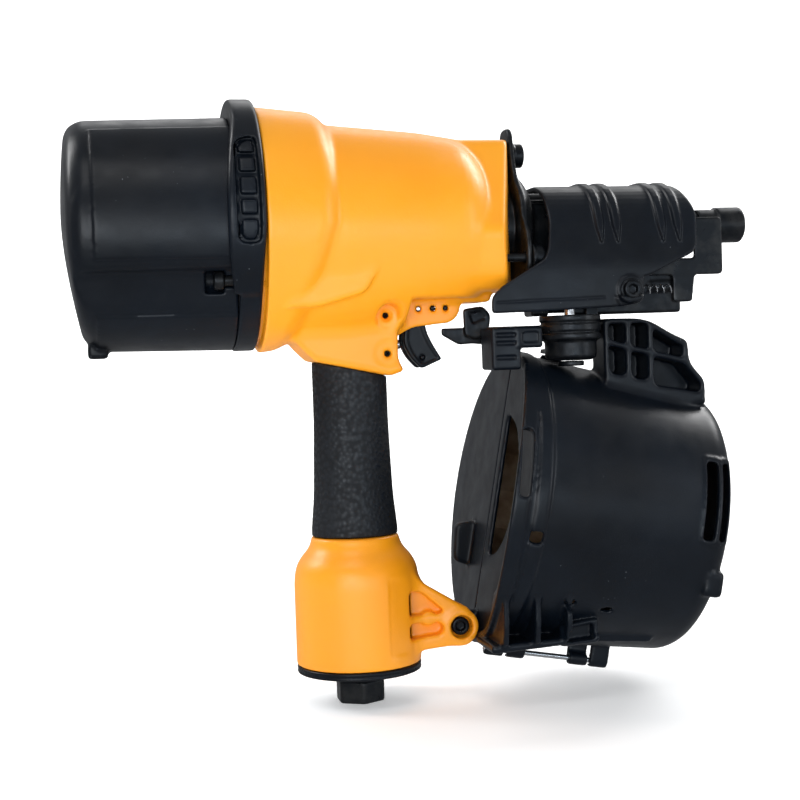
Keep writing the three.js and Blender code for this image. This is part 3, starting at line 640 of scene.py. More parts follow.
BELL_REAR = -148.4
BELL_RADIUS = 68.9
BELL_RISE = 1.4
BELL_TAPER = 0.1
SHOULDER = (-115.5, 65.8)  # along the drive axis and out from it
SHOULDER_NORMAL = (0.675, 0.738)
SHOULDER_SWEEP = 0.3
FRONT_FLAT = 9  # half the width of the front face's flat middle
FRONT_FALL = 0.36


def bell(x, y, z):
    """The wide rear of the barrel; below the middle its shoulder sweeps back."""
    swept = x + SHOULDER_SWEEP * np.maximum(-z, 0)
    radius = np.hypot(y, z - BELL_RISE)
    side = radius - BELL_RADIUS + BELL_TAPER * (x + 148)
    shoulder = SHOULDER_NORMAL[0] * (swept - SHOULDER[0]) + SHOULDER_NORMAL[1] * (radius - SHOULDER[1])
    return meet(side, shoulder, 2.5)


def beyond_front(x, y, z):
    """The space in front of the casting, whose front face falls back towards its sides."""
    return -x - GAP - FRONT_FALL * np.maximum(np.abs(y) - FRONT_FLAT, 0) + 0 * z


def barrel(field):
    """The bell, the taper in front of it, and the three-cornered lug behind the nose flange."""
    field.add(bell)
    field.keep(slab((BELL_REAR, -80, -80), (0, 80, 80), 1.5))
    field.add(rod("x", DRIVE, 61.7, (-161.5, -140)))
    field.add(turned([
        (-150, 0), (-150, 60), (-105, 60), (-52, 55.5, 10), (-31, 51.5, 8), (-19, 40, 6), (-17, 0),
    ]), 1.5)
    lug = [(-14, 50.8, 5), (14, 50.8, 5), (50, -4, 5), (45.5, -27, 6), (34, -37, 5), (-34, -37, 5),
           (-45.5, -27, 6), (-50, -4, 5)]
    field.add(plate(lug, (-50, -GAP), "x"), 2.5)
    field.cut(beyond_front, 2, ((-20, -73, -60), (2, 73, 60)))


def handle_root(field):
    """The ridges under the bell, the root of the handle, and the core inside the grip."""
    ridge = [(-130, -16), (-84, -19, 3), (-95, -37, 4), (-121, -44, 3), (-138, -44)]
    field.add(plate(ridge, (-54, 54), edge=2.5), 1.5, ((-142, -62, -60), (-70, 62, -5)))
    field.cut(slab((-66, -80, -90), (2, 80, -40.3), 1), 2, ((-70, -80, -80), (2, 80, -30)))
    root = [(-140, -44), (-129, -64, 8), (-119, -73.5), (-76, -83.2, 2), (-68, -80.5, 2),
            (-71.2, -74, 2), (-71, -42)]
    field.add(plate(root, (-22, 22), edge=3.5), 6, ((-150, -60, -92), (-55, 60, -25)))
    core = turned([(-190, 0), (-190, 17.7), (-60, 17.7), (-60, 0)], "z", HANDLE, GRIP_ASPECT)
    field.add(core, 0, ((-125, -25, -192), (-70, 25, -50)))


def trigger_bracket(field):
    """The two cheeks that hold the trigger, and the ledge in front of them."""
    ledge = [(-42, -34), (-12, -32), (-15, -42.8, 2), (-42, -42.8)]
    field.add(plate(ledge, (-15, 15), edge=2), 3, ((-50, -30, -50), (0, 30, -25)))
    bracket = [(-73, -36), (-32, -38), (-32.5, -49, 4), (-38, -54, 3), (-61, -56, 4), (-72, -62, 5)]
    for side in (-1, 1):
        span = sorted((side * 9, side * 12.3))
        field.add(plate(bracket, span, edge=1.2), 3, ((-80, -20, -70), (-25, 20, -30)))
    trigger_room = slab((-70, -8.8, -70), (-44, 8.8, -40.4))
    field.cut(trigger_room, 0.4, ((-74, -16, -84), (-40, 16, -36)))


def lower_handle(field):
    """The wide round end of the handle."""
    field.add(turned([
        (HANDLE_BOTTOM, 0), (HANDLE_BOTTOM, 36, 1), (-198, 36, 5), (-189, 34, 5), (-180, 26.2, 4),
        (-174.2, 25), (-174.2, 0),
    ], "z", HANDLE), 0, ((-140, -45, -249), (-50, 45, -170)))


def front_arm(field):
    """The arm at the bottom of the handle: a web with two pockets, a rib and a bolt boss."""
    near = ((-84, -40, -246), (-26, 0, -188))
    flat = [(-84, -33.4), (-62.5, -21), (-50, -44), (-84, -44)]
    field.cut(plate(flat, (-240, -197), "z", 1), 1, near)
    web = [(-80, -194), (-68, -196), (-60, -203, 4), (-36, -218), (-34, -238.5, 5), (-62, -240.5, 5),
           (-80, -243)]
    field.add(plate(web, (-20, -8), edge=1.6), 4, near)
    field.add(rod("y", ARM_BOLT, 10.2, (-20.6, -7.8), 1.6), 3, near)
    pockets = [
        [(-71, -205.5, 3), (-62, -207.5, 2), (-49.5, -219, 2), (-53, -220.3, 2), (-71, -220.3, 2)],
        [(-71, -224.8, 2), (-53, -224.8, 2), (-50, -227.5, 2), (-51, -232, 3), (-71, -234, 3)],
    ]
    for pocket in pockets:
        field.cut(plate(pocket, (-40, -13.5)), 1.2, near)
    field.add(rod("y", (-58.7, -222.6), 4.2, (-19, -12), 0.8), 1, near)


def hollow_housing(field):
    """The cylinder chamber, the air passages, and the pin, bolt and valve holes."""
    field.cut(turned([
        (-165, 0), (-165, 46), (-148.5, 46), (-146.5, 58), (-118, 58), (-100, 46), (-75, 37.3),
        (-14, 37.3), (-14, 22), (3, 22), (3, 0),
    ]))
    field.cut(rod("z", HANDLE, 12, (-250, -50)), 0, ((-110, -20, -250), (-80, 20, -50)))
    field.cut(rod("z", HANDLE, 31, (-250, -200)), 0, ((-130, -35, -250), (-60, 35, -198)))
    field.cut(rod("x", VALVE, 9.3, (-97.3, -60)), 0.8, ((-100, -15, -80), (-60, 15, -50)))
    arm = ((-60, -25, -245), (-25, 0, -210))
    field.cut(rod("y", ARM_BOLT, 6.7, (-24, -13), 0.4), 0.8, arm)
    field.cut(rod("y", ARM_BOLT, ARM_BOLT_HOLE, (-24, -5)), 0, arm)
    for place in (TRIGGER_PIVOT, *GUIDE_PINS):
        near = box_about("y", place, 4, (-16, 16))
        field.cut(rod("y", place, GUIDE_PIN_HOLE, (-15, 15)), 0.5, near)
    for place in ROLL_PINS:
        near, round_pad = box_about("y", place, 6, (-36, 36)), box_about("y", place, 14, (-40, 40))
        field.cut(rod("y", place, 1.9, (-34, 34)), 0, near)
        for side in (-1, 1):
            pad = rod("y", place, 6.5, sorted((side * 22.3, side * 40)), 0.5)
            field.cut(pad, 3, round_pad)
            counterbore = rod("y", place, 3.2, sorted((side * 20.8, side * 36)), 0.5)
            field.cut(counterbore, 0.6, near)
    for place in NOSE_BOLTS:
        hole = rod("x", place, NOSE_BOLT_HOLE, (-12.7, 3))
        field.cut(hole, 0, box_about("x", place, 5, (-14, 2)))
    for angle in CAP_BOLT_ANGLES:
        place = around(angle, CAP_BOLT_CIRCLE)
        hole = rod("x", place, 3.3, (-165, -150))
        field.cut(hole, 0, box_about("x", place, 5, (-163, -149)))


def housing():
    """One casting: barrel, handle, trigger bracket and the arm that steadies the magazine."""
    field = Field((-163, -73, -249), (1.5, 73, 73), 1.0)
    for form in (barrel, handle_root, trigger_bracket, lower_handle, front_arm, hollow_housing):
        form(field)
    return field


# ---- Rear cap and exhaust band ----


def sector(start, end, radius, span):
    """A wedge about the drive axis between two angles."""
    arc = [around(angle, radius) for angle in np.linspace(start, end, 9)]
    return plate([(0, 0), *arc], span, "x")


DOME_CURVE = 900  # twice the radius of the shallow dome
VAULT_CURVE = 260
VAULT_HALF = 58
LEAN_FROM = (-247, -49)  # a point (x, z) of the leaning plane, then its normal
LEAN_NORMAL = (-0.976, -0.217)


def cap_rear_wall(x, y, z):
    """The domed rear of the cap: it leans forward at the bottom and curls in at the sides."""
    dome = CAP_REAR + (y * y + z * z) / DOME_CURVE - x
    sides = np.maximum(VAULT_HALF**2 - y * y, 0) / VAULT_CURVE
    vault = CAP_REAR + 3.5 + z * z / VAULT_CURVE - sides - x
    lean = LEAN_NORMAL[0] * (x - LEAN_FROM[0]) + LEAN_NORMAL[1] * (z - LEAN_FROM[1])
    return meet(meet(dome, vault, 2.5), lean, 6)


def rear_cap():
    field = Field((-257, -68, -69), (-162, 68, 68), 0.9)
    side = turned([(-262, 0), (-262, 62), (-240, 63), (CAP_FRONT, 64.4), (CAP_FRONT, 0)])
    field.add(side)
    field.keep(cap_rear_wall, 9)
    panels = [(122, 195.5), (-15.5, 58), (226, 314)]
    for start, end in panels:
        field.emboss(sector(start, end, 90, (-238, CAP_FRONT + 1)), 1.1, 0.5)
    for side_of in (-1, 1):
        trough = [(65.4, -18.7), (53.2, -24.5, 3), (46.4, -45), (56, -54), (76, -21)]
        near_trough = [(side_of * y, z, *rest) for y, z, *rest in trough]
        field.cut(plate(near_trough, (-270, -160), "x"), 1.2)
    field.cut(slab((-270, -8.5, 54.5), (-160, 8.5, 80), 2), 1.2)
    field.add(slab((-243, -14, -68), (-232, 14, -60), 2), 2)
    field.cut(turned([(-232, 0), (-232, 47, 4), (-160, 47), (-160, 0)]))
    for angle in CAP_BOLT_ANGLES:
        place = around(angle, CAP_BOLT_CIRCLE)
        field.cut(rod("x", place, 6.6, (-181, -170.8), 0.6), 0.8)
        field.cut(rod("x", place, 3.4, (-175, -160)))
    field.cut(slab((CAP_FRONT, -80, -80), (-150, 80, 80)))
    return field


def socket_bolt(axis, place, head, shank, depth):
    """A socket-head screw; head and shank are (radius, start, end), the head's top at its start."""
    radius, top, bottom = head
    start, end = sorted((top, shank[2]))
    field = Field(*box_about(axis, place, radius + 2.5, (start - 1, end + 1)), 0.45)
    field.add(rod(axis, place, radius, sorted((top, bottom)), 0.8))
    field.add(rod(axis, place, shank[0], sorted((shank[1], shank[2])), 0.4))
    inward = math.copysign(depth, bottom - top)
    field.cut(prism(axis, place, radius, sorted((top - inward, top + inward))), 0.3)
    return field


def cap_bolt(angle):
    return socket_bolt("x", around(angle, CAP_BOLT_CIRCLE), (5, -176.5, -171.1), (3, -171.2, -151), 3)


def exhaust_deflector():
    """A band round the joint, with a raised saddle over its top and sides that holds the vents."""
    field = Field((-171, -73, -69), (-147, 73, 76), 0.8)
    field.add(rod("x", DRIVE, 66.2, (-163, -151), 1))

    rear, front, bottom = -163, -148.8, -38

    def saddle(x, y, z):
        bulge = 6.4 * np.clip(1 - (z / 58) ** 2, 0, 1)
        narrowing = 3 * np.clip(z / bottom, 0, 1)
        ends = meet(rear - bulge - x, x - front + narrowing, 2)
        crown = np.hypot(y, z - 4.6) - 70
        return meet(meet(crown, ends, 2.5), bottom - z, 3)

    field.add(saddle, 1.2)
    stadium = [(-164.4, 30), (-164.4, 45, 6), (-151.8, 47.5, 5), (-151.8, -10.5, 5), (-164.4, -10.5, 6)]
    inner = [(-162.6, 30), (-162.6, 43, 5), (-153.6, 45.5, 4), (-153.6, -8.7, 4), (-162.6, -8.7, 5)]
    gaps = either(*(slab((-170, -90, z - 1.1), (-140, 90, z + 1.1)) for z in (36.4, 25.8, 13.8, 3.4)))

    def vents(x, y, z):
        pads = meet(plate(inner, (-90, 90))(x, y, z), -gaps(x, y, z), 0.8)
        return meet(plate(stadium, (-90, 90))(x, y, z), -pads)

    field.engrave(vents, 3.2, 0.4)
    field.engrave(plate(inner, (-90, 90)), 0.5, 0.3)
    field.cut(rod("x", DRIVE, 62, (-175, -140)))
    field.cut(rod("x", DRIVE, 66.1, (-175, -163)))
    return field


# ---- Handle ----


def grip_sleeve():
    field = Field((-124, -23, -176), (-69, 23, -66), 0.5)
    field.add(turned([
        (-173.9, 0), (-173.9, 25, 0.8), (-170, 24.9, 1), (-150, 23, 6), (-110, 21.6, 8), (-60, 21.6),
        (-60, 0),
    ], "z", HANDLE, GRIP_ASPECT))
    field.pebble(1.5, 0.2)
    field.cut(plate([(-130, -71.3), (-60, -86.7), (-60, -50), (-130, -50)], (-40, 40)), 0.8)
    field.cut(turned([(-180, 0), (-180, 18.3), (-60, 18.3), (-60, 0)], "z", HANDLE, GRIP_ASPECT))
    return field


def end_cap():
    """The round plug under the handle, with a rolled edge and a cone down to the fitting."""
    field = Field((-134, -38, -258), (-59, 38, -241), 0.7)
    field.add(turned([
        (-257, 0), (-257, 17, 1), (-253.8, 25, 3), (-252.3, 33, 2), (-251.8, 35.9, 0.5),
        (-247.6, 35.9, 0.5), (-247.6, 30), (-243, 30, 0.5), (-243, 0),
    ], "z", HANDLE))
    field.engrave(turned([(-250.4, 0), (-250.4, 40), (-249.6, 40), (-249.6, 0)], "z", HANDLE),
                  0.7, 0.2)
    for angle in range(0, 360, 60):
        dx, dy = around(angle + 30, 26.5)
        field.cut(rod("z", (HANDLE_X + dx, dy), 2.6, (-262, -251.4), 0.4), 0.5)
    field.cut(rod("z", HANDLE, 7, (-260, -240)), 0.4)
    return field


def air_fitting():
    field = Field((-113, -17, -271), (-80, 17, -256), 0.55)
    field.add(prism("z", HANDLE, 26, (-270, -257.3), 0.9))
    cone = turned([(-280, 0), (-280, 6), (-270, 14.2, 0.5), (-258.4, 14.8, 0.5), (-257.3, 13.6),
                   (-250, 13.6), (-250, 0)], "z", HANDLE)
    field.keep(cone, 0.4)
    field.cut(rod("z", HANDLE, 6, (-275, -250)), 0.8)
    return field


# ---- Trigger ----


def trigger():
    """A hooked blade: a dark raised edge round a sunken panel on each side."""
    field = Field((-68, -9, -82), (-41, 9, -40), 0.5)
    blade = [(-62, -41.7, 4), (-52.6, -41.7, 4), (-53.3, -54, 8), (-49.5, -64, 6), (-43, -74.8, 1.2),
             (-55.4, -80, 2), (-61.5, -73.5, 3), (-65.6, -65.5, 4), (-64.5, -53, 6)]
    panel = [(-61.6, -52), (-56, -52), (-55.6, -56, 4), (-52, -65, 5), (-46, -74.2, 1),
             (-54.8, -77.6, 2), (-59.6, -71.8, 3), (-63, -64.5, 4)]
    field.add(plate(blade, (-8, 8), edge=1))
    field.engrave(plate(panel, (-20, 20)), 0.7, 0.4)
    field.cut(slab((-70, -3.5, -85), (-59.5, 3.5, -39)), 0.4)
    field.cut(slab((-60, -3.5, -85), (-49.5, 3.5, -65)), 0.4)
    field.cut(rod("y", TRIGGER_PIVOT, GUIDE_PIN_HOLE, (-10, 10)), 0.3)
    field.cut(rod("y", LEVER_PIVOT, LEVER_PIN_HOLE, (-10, 10)), 0.3)
    return field


def trigger_lever():
    field = Field((-65, -4, -78), (-49, 4, -64), 0.4)
    lever = [(-51, -70.5, 1.5), (-51, -76.5, 1.5), (-58, -76.5, 1.5), (-63.2, -66.5, 1),
             (-60.6, -66, 1), (-57, -70.5, 1)]
    field.add(plate(lever, (-3, 3), edge=0.6))
    field.cut(rod("y", LEVER_PIVOT, LEVER_PIN_HOLE, (-5, 5)), 0.2)
    return field


def pin(axis, place, radius, span, bore=0.0):
    """A pin with rounded ends, hollow if it is a roll pin."""
    field = Field(*box_about(axis, place, radius + 1, (span[0] - 1, span[1] + 1)), 0.35)
    field.add(rod(axis, place, radius, span, 0.4))
    if bore:
        field.cut(rod(axis, place, bore, (span[0] - 2, span[1] + 2)), 0.2)
    return field


def valve_body():
    field = Field((-99, -11, VALVE_Z - 11), (-68, 11, VALVE_Z + 11), 0.5)
    field.add(rod("x", VALVE, 9, (-97, -70), 0.8))
    field.cut(rod("x", VALVE, 6.6, (-71.5, -60)), 0.3)
    field.cut(rod("x", VALVE, 5.5, (-100, -84)))
    field.cut(rod("x", VALVE, 3, (-100, -60)), 0.3)
    field.cut(rod("y", ROLL_PINS[1], 1.8, (-12, 12)))
    return field


def valve_stem():
    field = Field((-90, -6, VALVE_Z - 6), (-64, 6, VALVE_Z + 6), 0.35)
    field.add(rod("x", VALVE, 2.7, (-87, -65.9), 0.9))
    field.add(rod("x", VALVE, 4.6, (-88, -85.9), 0.4), 0.3)
    return field


# ---- Nose ----


def nosepiece():
    """The steel nose: flange, boss, channel for the nails, tube, screw boss and hinge knuckles."""
    field = Field((-14.4, -45, -54), (129.6, 44, 60), 0.8)
    flange = [(-8, 58, 5), (8, 58, 5), (14, 34, 6), (41, -9, 6), (41, -27, 6), (34, -31, 4),
              (-34, -31, 4), (-41, -27, 6), (-41, -9, 6), (-14, 34, 6)]
    field.add(plate(flange, (0, 3.2), "x", 0.8))
    field.add(turned([
        (-13, 0), (-13, 21.7, 0.6), (0.1, 21.7), (0.1, 32), (3.2, 32, 1), (8, 27, 3), (12, 19, 3),
        (13, 0),
    ]), 1)
    field.add(slab((11, -10, -52), (104, 7, 14), 1.6), 2.5)
    field.add(rod("x", DRIVE, 8, (100, 128), 0.6), 1.5)
    field.add(rod("y", COVER_SCREW, 6, (-43, -9), 0.8), 2)
    for start, end in ((14, 34), (82, 102)):
        field.add(rod("x", DOOR_HINGE, DOOR_KNUCKLE, (start, end), 0.5), 1)
        field.add(slab((start, 2, 10), (end, 11, 17), 0.8), 1)
    for z in (-8, -22, -36):
        field.engrave(slab((84, -20, z - 3), (101, -5, z + 3), 2), 0.8, 0.5)
    field.cut(rod("x", DRIVE, 5.2, (-20, 140)), 0.4)
    field.cut(slab((14, -5.2, -60), (102, 20, 0)), 0.5)
    field.cut(slab((21.5, -20, -60), (32.5, 0, -31)), 0.5)
    field.cut(rod("x", DOOR_HINGE, DOOR_PIN_HOLE, (13, 103)))
    field.cut(rod("y", COVER_SCREW, COVER_SCREW_HOLE, (-50, -8)), 0.4)
    for place in NOSE_BOLTS:
        field.cut(rod("x", place, NOSE_BOLT_HOLE, (-4, 6)), 0.3)
    return field


def nose_bolt(place):
    field = socket_bolt("x", place, (7, 10.6, 3.5), (2.4, 3.6, -12), 3.2)
    return field.add(rod("x", place, 7.6, (3.5, 5.2), 0.6), 0.6)


def cover_screw():
    field = socket_bolt("y", COVER_SCREW, (5, -51, -46.3), (2.4, -46.4, -11.5), 2.6)
    return field.add(rod("y", COVER_SCREW, 6.4, (-48, -46.4), 0.5), 0.4)


def cover_sheet(x, y, z):
    """A bent sheet over the top of the nose and down its right side, endless along the drive axis."""
    outside = outlined([(60, 23.4), (-14, 23.4, 7), (-30, 17, 8), (-39, 4, 8), (-43.5, -12, 6),
                        (-46, -24, 5), (-46, -120), (60, -120)])
    return np.abs(outline_distance(y, z, outside) + COVER_SKIN / 2) - COVER_SKIN / 2


def nose_cover():
    """The moulded cover: a bent sheet with four tapered ribs and a stepped boss under its screw."""
    field = Field((-24.5, -51, -52), (104.5, 7, 28), 0.65)
    field.add(cover_sheet)
    outline = [
        (13.6, 25), (97, 25, 3), (103, 6, 4), (100, -18, 5), (86, -24, 4), (72, -31, 3),
        (67, -32, 1), (67, -46.5, 6), (52, -48.5, 3), (2, -50), (-22.7, -50.3, 2), (-22.6, -41, 3),
        (-16, -35), (9.1, -20.3, 2), (11.6, -14, 3), (13.6, 0),
    ]
    field.keep(plate(outline, (-70, 5)), 1)
    for x in (43, 53, 80, 90):
        rib = [(x - 3, 40), (x + 3, 40), (x + 2.4, -2), (x + 0.4, -12), (x - 0.4, -12), (x - 2.4, -2)]
        field.emboss(plate(rib, (-70, 4)), 1.8, 0.9)
    ledges = [[(49, -43), (66.5, -43), (65, -46.5, 3), (52, -48.4, 2)],
              [(51, -43), (65.5, -43), (64, -45.2, 2), (53, -46.2, 2)]]
    for step, ledge in enumerate(ledges):
        field.emboss(plate(ledge, (-70, -40)), 1 + step, 0.5)
    field.emboss(rod("y", COVER_SCREW, 8, (-70, -40)), 0.9, 0.4)
    field.engrave(plate([(-20, -44.6), (44, -43.4), (44, -42.6), (-20, -43.8)], (-70, -40)), 0.5, 0.2)
    field.cut(rod("y", COVER_SCREW, COVER_SCREW_HOLE, (-70, -30)), 0.3)
    field.cut(slab((-30, -80, -60), (110, -50.9, 60)))
    return field


def nose_door():
    """The hinged plate on the left of the nose, with a sunken panel and a long knuckle."""
    field = Field((13, 6, -51), (103, 17, 23), 0.6)
    field.add(slab((14, 7.3, -50), (102, 12, 9.7), 1))
    field.add(slab((34.4, 7.3, 5), (81.6, 12, 17), 1), 1)
    field.add(rod("x", DOOR_HINGE, DOOR_KNUCKLE, (34.4, 81.6), 0.5), 1.5)
    panels = [[(19, -45, 2), (19, 4, 3), (55, 4, 3), (55, -32, 3), (19, -32, 2)],
              [(60, -45, 3), (60, 4, 3), (97, 4, 3), (97, -45, 3)]]
    for panel in panels:
        field.cut(plate(panel, (10.8, 20)), 0.6)
    field.cut(rod("x", DOOR_HINGE, DOOR_PIN_HOLE, (30, 90)))
    return field


def nose_door_latch():
    field = Field((17, 11.5, -50), (50, 19.5, -34), 0.45)
    lever = [(20, -36, 3), (46, -38, 2), (46, -43, 2), (28, -45, 3), (24, -48, 2), (19, -46, 3)]
    pad = [(38, -37.5, 2), (48, -37.5, 2), (48, -43.5, 2), (38, -43.5, 2)]
    field.add(plate(lever, (12.3, 15), edge=0.8))
    field.add(plate(pad, (14, 18), edge=1), 0.8)
    field.add(rod("y", (24, -40.5), 3, (12.5, 16.2), 0.6), 0.5)
    for x in (40.5, 43, 45.5):
        field.cut(slab((x - 0.5, 17.3, -50), (x + 0.5, 20, -30)), 0.3)
    return field


def contact_tip():
    """The muzzle: a smooth sleeve with a stepped collar and a rounded mouth."""
    field = Field((116, -12, -12), (149, 12, 12), 0.5)
    field.add(turned([
        (118, 0), (118, 9.4, 0.6), (129.4, 9.4), (130.4, 10.7, 0.6), (145.8, 10.7), (147, 9.6, 0.6),
        (147, 0),
    ]))
    field.cut(rod("x", DRIVE, 8.4, (100, 141)))
    field.cut(rod("x", DRIVE, 6, (100, 160)), 0.5)
    return field


def contact_arm():
    """A flat steel arm to the tip, with a pressed bead, and the link beside the trigger bracket."""
    field = Field((-46, -16.8, -70), (132, -9.6, 6), 0.6)
    strip = [
        (-44, -57.2, 1), (-44, -61, 1), (-34, -67, 2), (-26, -66.5, 2), (-14, -68, 4), (-3, -63.5, 3),
        (51, -63.5, 3), (51, -30, 2), (98, -30, 2), (98, -46, 2), (110, -46, 2), (112, -30, 2),
        (130, -30, 3), (130, 4, 3), (112, 4, 3), (112, -20, 2), (43, -20, 3), (43, -57.2, 2),
    ]
    field.add(plate(strip, (-13, -10.6), edge=0.5))
    bead = [(-12, -60, 1), (40, -60, 1), (40, -61, 1), (-12, -61, 1)]
    field.engrave(plate(bead, (-20, -12)), 0.4, 0.2)
    link = [(-31, -62, 2), (-31.5, -46.5, 2), (-20, -45, 2), (-15, -50, 3), (-17, -62, 3),
            (-24, -64, 2)]
    field.add(plate(link, (-15.6, -12.8), edge=0.7), 0.6)
    dimple = [(-28, -49, 1), (-21, -48, 1), (-18.5, -52, 1), (-26, -55, 1)]
    field.engrave(plate(dimple, (-20, -14)), 0.7, 0.3)
    return field


# ---- Feed ----


def feed_cylinder():
    field = Field((8, -50, -79.5), (46, -12, -51), 0.5)
    field.add(turned([
        (-78, 0), (-78, 12, 1.5), (-76, 14.8, 1), (-67, 14.8, 1), (-66, 17.5, 1), (-52.3, 17.5, 0.8),
        (-52.3, 0),
    ], "z", FEED))
    for z in (-56.5, -62):
        groove = turned([(z - 0.7, 0), (z - 0.7, 30), (z + 0.7, 30), (z + 0.7, 0)], "z", FEED)
        field.engrave(groove, 0.9, 0.3)
    field.cut(rod("z", FEED, 13, (-74, -40)))
    return field


def feed_plug():
    field = Field((18, -40, -82.2), (36, -22, -77), 0.4)
    field.add(rod("z", FEED, 7.5, (-81.2, -78.3), 0.6))
    return field.cut(prism("z", FEED, 6, (-84, -79.4)), 0.3)


def magazine_mount():
    """The block that carries the magazine, with ledges on its near face."""
    field = Field((-23, -41, -83), (9, -15, -57), 0.55)
    field.add(slab((-22, -40, -82), (-5, -16, -58), 1.6))
    field.add(slab((-8, -40, -70), (8, -16, -58), 1.6), 1.5)
    for z in (-62.5, -67, -75):
        field.engrave(slab((-19.5, -50, z - 1), (-8, -30, z + 1), 0.9), 1, 0.4)
    field.engrave(slab((-4, -50, -67), (5.5, -30, -61), 1.5), 0.8, 0.4)
    return field


# ---- Canister ----


def about_drive(shape):
    """A shape given about the drive axis, for a field in the canister's tilted frame."""
    cos, sin = math.cos(CANISTER_TILT), math.sin(CANISTER_TILT)

    def distance(x, y, z):
        return shape(CANISTER_X + x * cos + z * sin, y, CANISTER_Z - x * sin + z * cos)

    return distance


def drum_outside():
    return turned([
        (0, 0), (0, DRUM_RADIUS, 1), (8, DRUM_RADIUS, 1), (8.6, 84.5, 0.5), (110, 77.5, 3),
        (116.5, 74, 4), (DRUM_LENGTH, 68, 2), (DRUM_LENGTH, 0),
    ])


def drum_inside():
    return turned([(3, 0), (3, 82), (108, 74.5), (113.5, 71.5), (116.5, 66), (116.5, 0)])


LIP_FRONT = 8


def near_lip(x, y, z):
    """The rim of the fixed half, which reaches further back the nearer it is to the side."""
    reach = 2 + 0.2 * np.maximum(-y - 33, 0)
    radius = np.hypot(y, z)
    band = meet(np.abs(radius - 83) - 3, meet(-reach - x, x - LIP_FRONT + 0.9 * reach), 0.9)
    skirt = meet(np.abs(radius - 82.3) - 2.3, meet(-reach - x, x - LIP_FRONT))
    return join(band, skirt)


def wall_hole(angle, x, along, across, corner):
    """A slot through the drum's wall, at an angle in degrees from its right side to its bottom."""
    cos, sin = math.cos(math.radians(angle)), math.sin(math.radians(angle))

    def distance(px, py, pz):
        u, v = px - x, py * sin - pz * cos
        flat = meet(np.abs(u) - along, np.abs(v) - across, corner)
        return meet(flat, py * cos + pz * sin + 40)

    return distance


def front_slots(field):
    """Two tall slots near the drum's front, each with a raised border, and the boss below them."""
    near = ((90, -90, -12), (120, -40, 48))
    for x, half in ((104.3, 3.4), (113.2, 2.4)):
        border = slab((x - half - 1.6, -90, -7), (x + half + 1.6, -60, 42), 2)
        field.emboss(border, 0.9, 0.5, near)
        opening = slab((x - half, -90, -4.5), (x + half, -50, 38.5), 2)
        field.cut(opening, 0.5, near)
    boss = slab((107, -75, -36), (119, -60, -21), 3)
    field.add(boss, 2, ((100, -80, -45), (120, -50, -15)))


def canister_bracket(field):
    """The ribbed bracket that carries the drum from the nose."""
    near = ((40, -39.5, 55), (112, -13, 119))
    plate_edge = [(45.2, -54.8, 3), (71, -55.3, 8), (88, -65.5, 5), (96, -68.7, 3), (96.8, -81.5, 4),
                  (106, -92.5, 3), (106, -106), (45.2, -104)]
    field.add(about_drive(plate(plate_edge, (-38, -15), edge=1.4)), 3, near)
    pockets = [
        [(48, -58, 2), (58, -58, 2), (58, -69.5, 2), (48, -66.5, 2)],
        [(61.5, -58, 2), (70, -58, 2), (71.5, -59.5), (71.5, -73, 2), (61.5, -70.5, 2)],
        [(75, -61.5, 2), (88, -69.5, 2), (92.5, -72), (92.5, -78.5, 2), (75, -74, 2)],
        [(48, -70, 2), (58, -73, 2), (58, -88, 4), (48, -86, 4)],
        [(61.5, -74, 2), (71.5, -76.5, 2), (71.5, -91, 4), (61.5, -89, 4)],
        [(75, -77.5, 2), (93, -82, 3), (103, -94, 2), (103, -99, 3), (75, -94, 4)],
    ]
    for pocket in pockets:
        field.cut(about_drive(plate(pocket, (-45, -19))), 1, near)


def lower_flange(field):
    """The ledge under the drum with its gussets, the framed box beside it, and the bolt ear."""
    near = ((-30, -70, -100), (60, 0, -35))
    ledge = [(-34, -232, 1), (28, -230, 1), (28, -233.6, 1), (-34, -236.6, 1)]
    field.add(about_drive(plate(ledge, (-64, -30), edge=0.8)), 1, near)
    for x in (-27, -9, 9):
        fin = [(-78, -184), (-68, -232, 2), (-30, -232), (-50, -205)]
        field.add(about_drive(plate(fin, (x - 1.6, x + 1.6), "x", 0.6)), 1.5, near)
    box = [(6, -224, 2), (28, -221, 2), (28, -235, 2), (6, -236, 2)]
    field.add(about_drive(plate(box, (-62, -30), edge=1)), 1, near)
    window = [(9, -226, 1), (25, -224, 1), (25, -232.4, 1), (9, -233.4, 1)]
    field.cut(about_drive(plate(window, (-80, -56))), 0.4, near)
    rail = [(29, -232, 2), (66, -236, 2), (66, -241, 2), (29, -238, 2)]
    field.add(about_drive(plate(rail, (-44, -20), edge=1)), 1.5, ((40, -60, -90), (110, 0, -50)))
    ear = ((-45, -20, -100), (10, 0, -60))
    field.add(about_drive(slab((-36, -7.6, -238), (-8, -1.2, -222), 1)), 1, ear)
    field.add(about_drive(rod("y", ARM_BOLT, 10, (-7.6, -1.2), 1)), 1.5, ear)
    bridge = [(-30, -236), (-10, -232), (-10, -236.5), (-30, -239)]
    field.add(about_drive(plate(bridge, (-34, -1.2), edge=0.8)), 1, ((-30, -40, -100), (25, 0, -60)))
    field.cut(about_drive(rod("y", ARM_BOLT, ARM_BOLT_HOLE, (-12, 4))), 0.4, ear)


def hinge_knuckles(field, starts, side):
    for start in starts:
        span = (start, start + 12)
        field.add(rod("x", CANISTER_HINGE, 3.8, span, 0.5))
        low, high = sorted((side * 0.4, side * 3.8))
        field.add(slab((start, low, CANISTER_HINGE[1]), (start + 12, high, -77), 0.4))
    field.cut(rod("x", CANISTER_HINGE, 2, (-5, 100)))


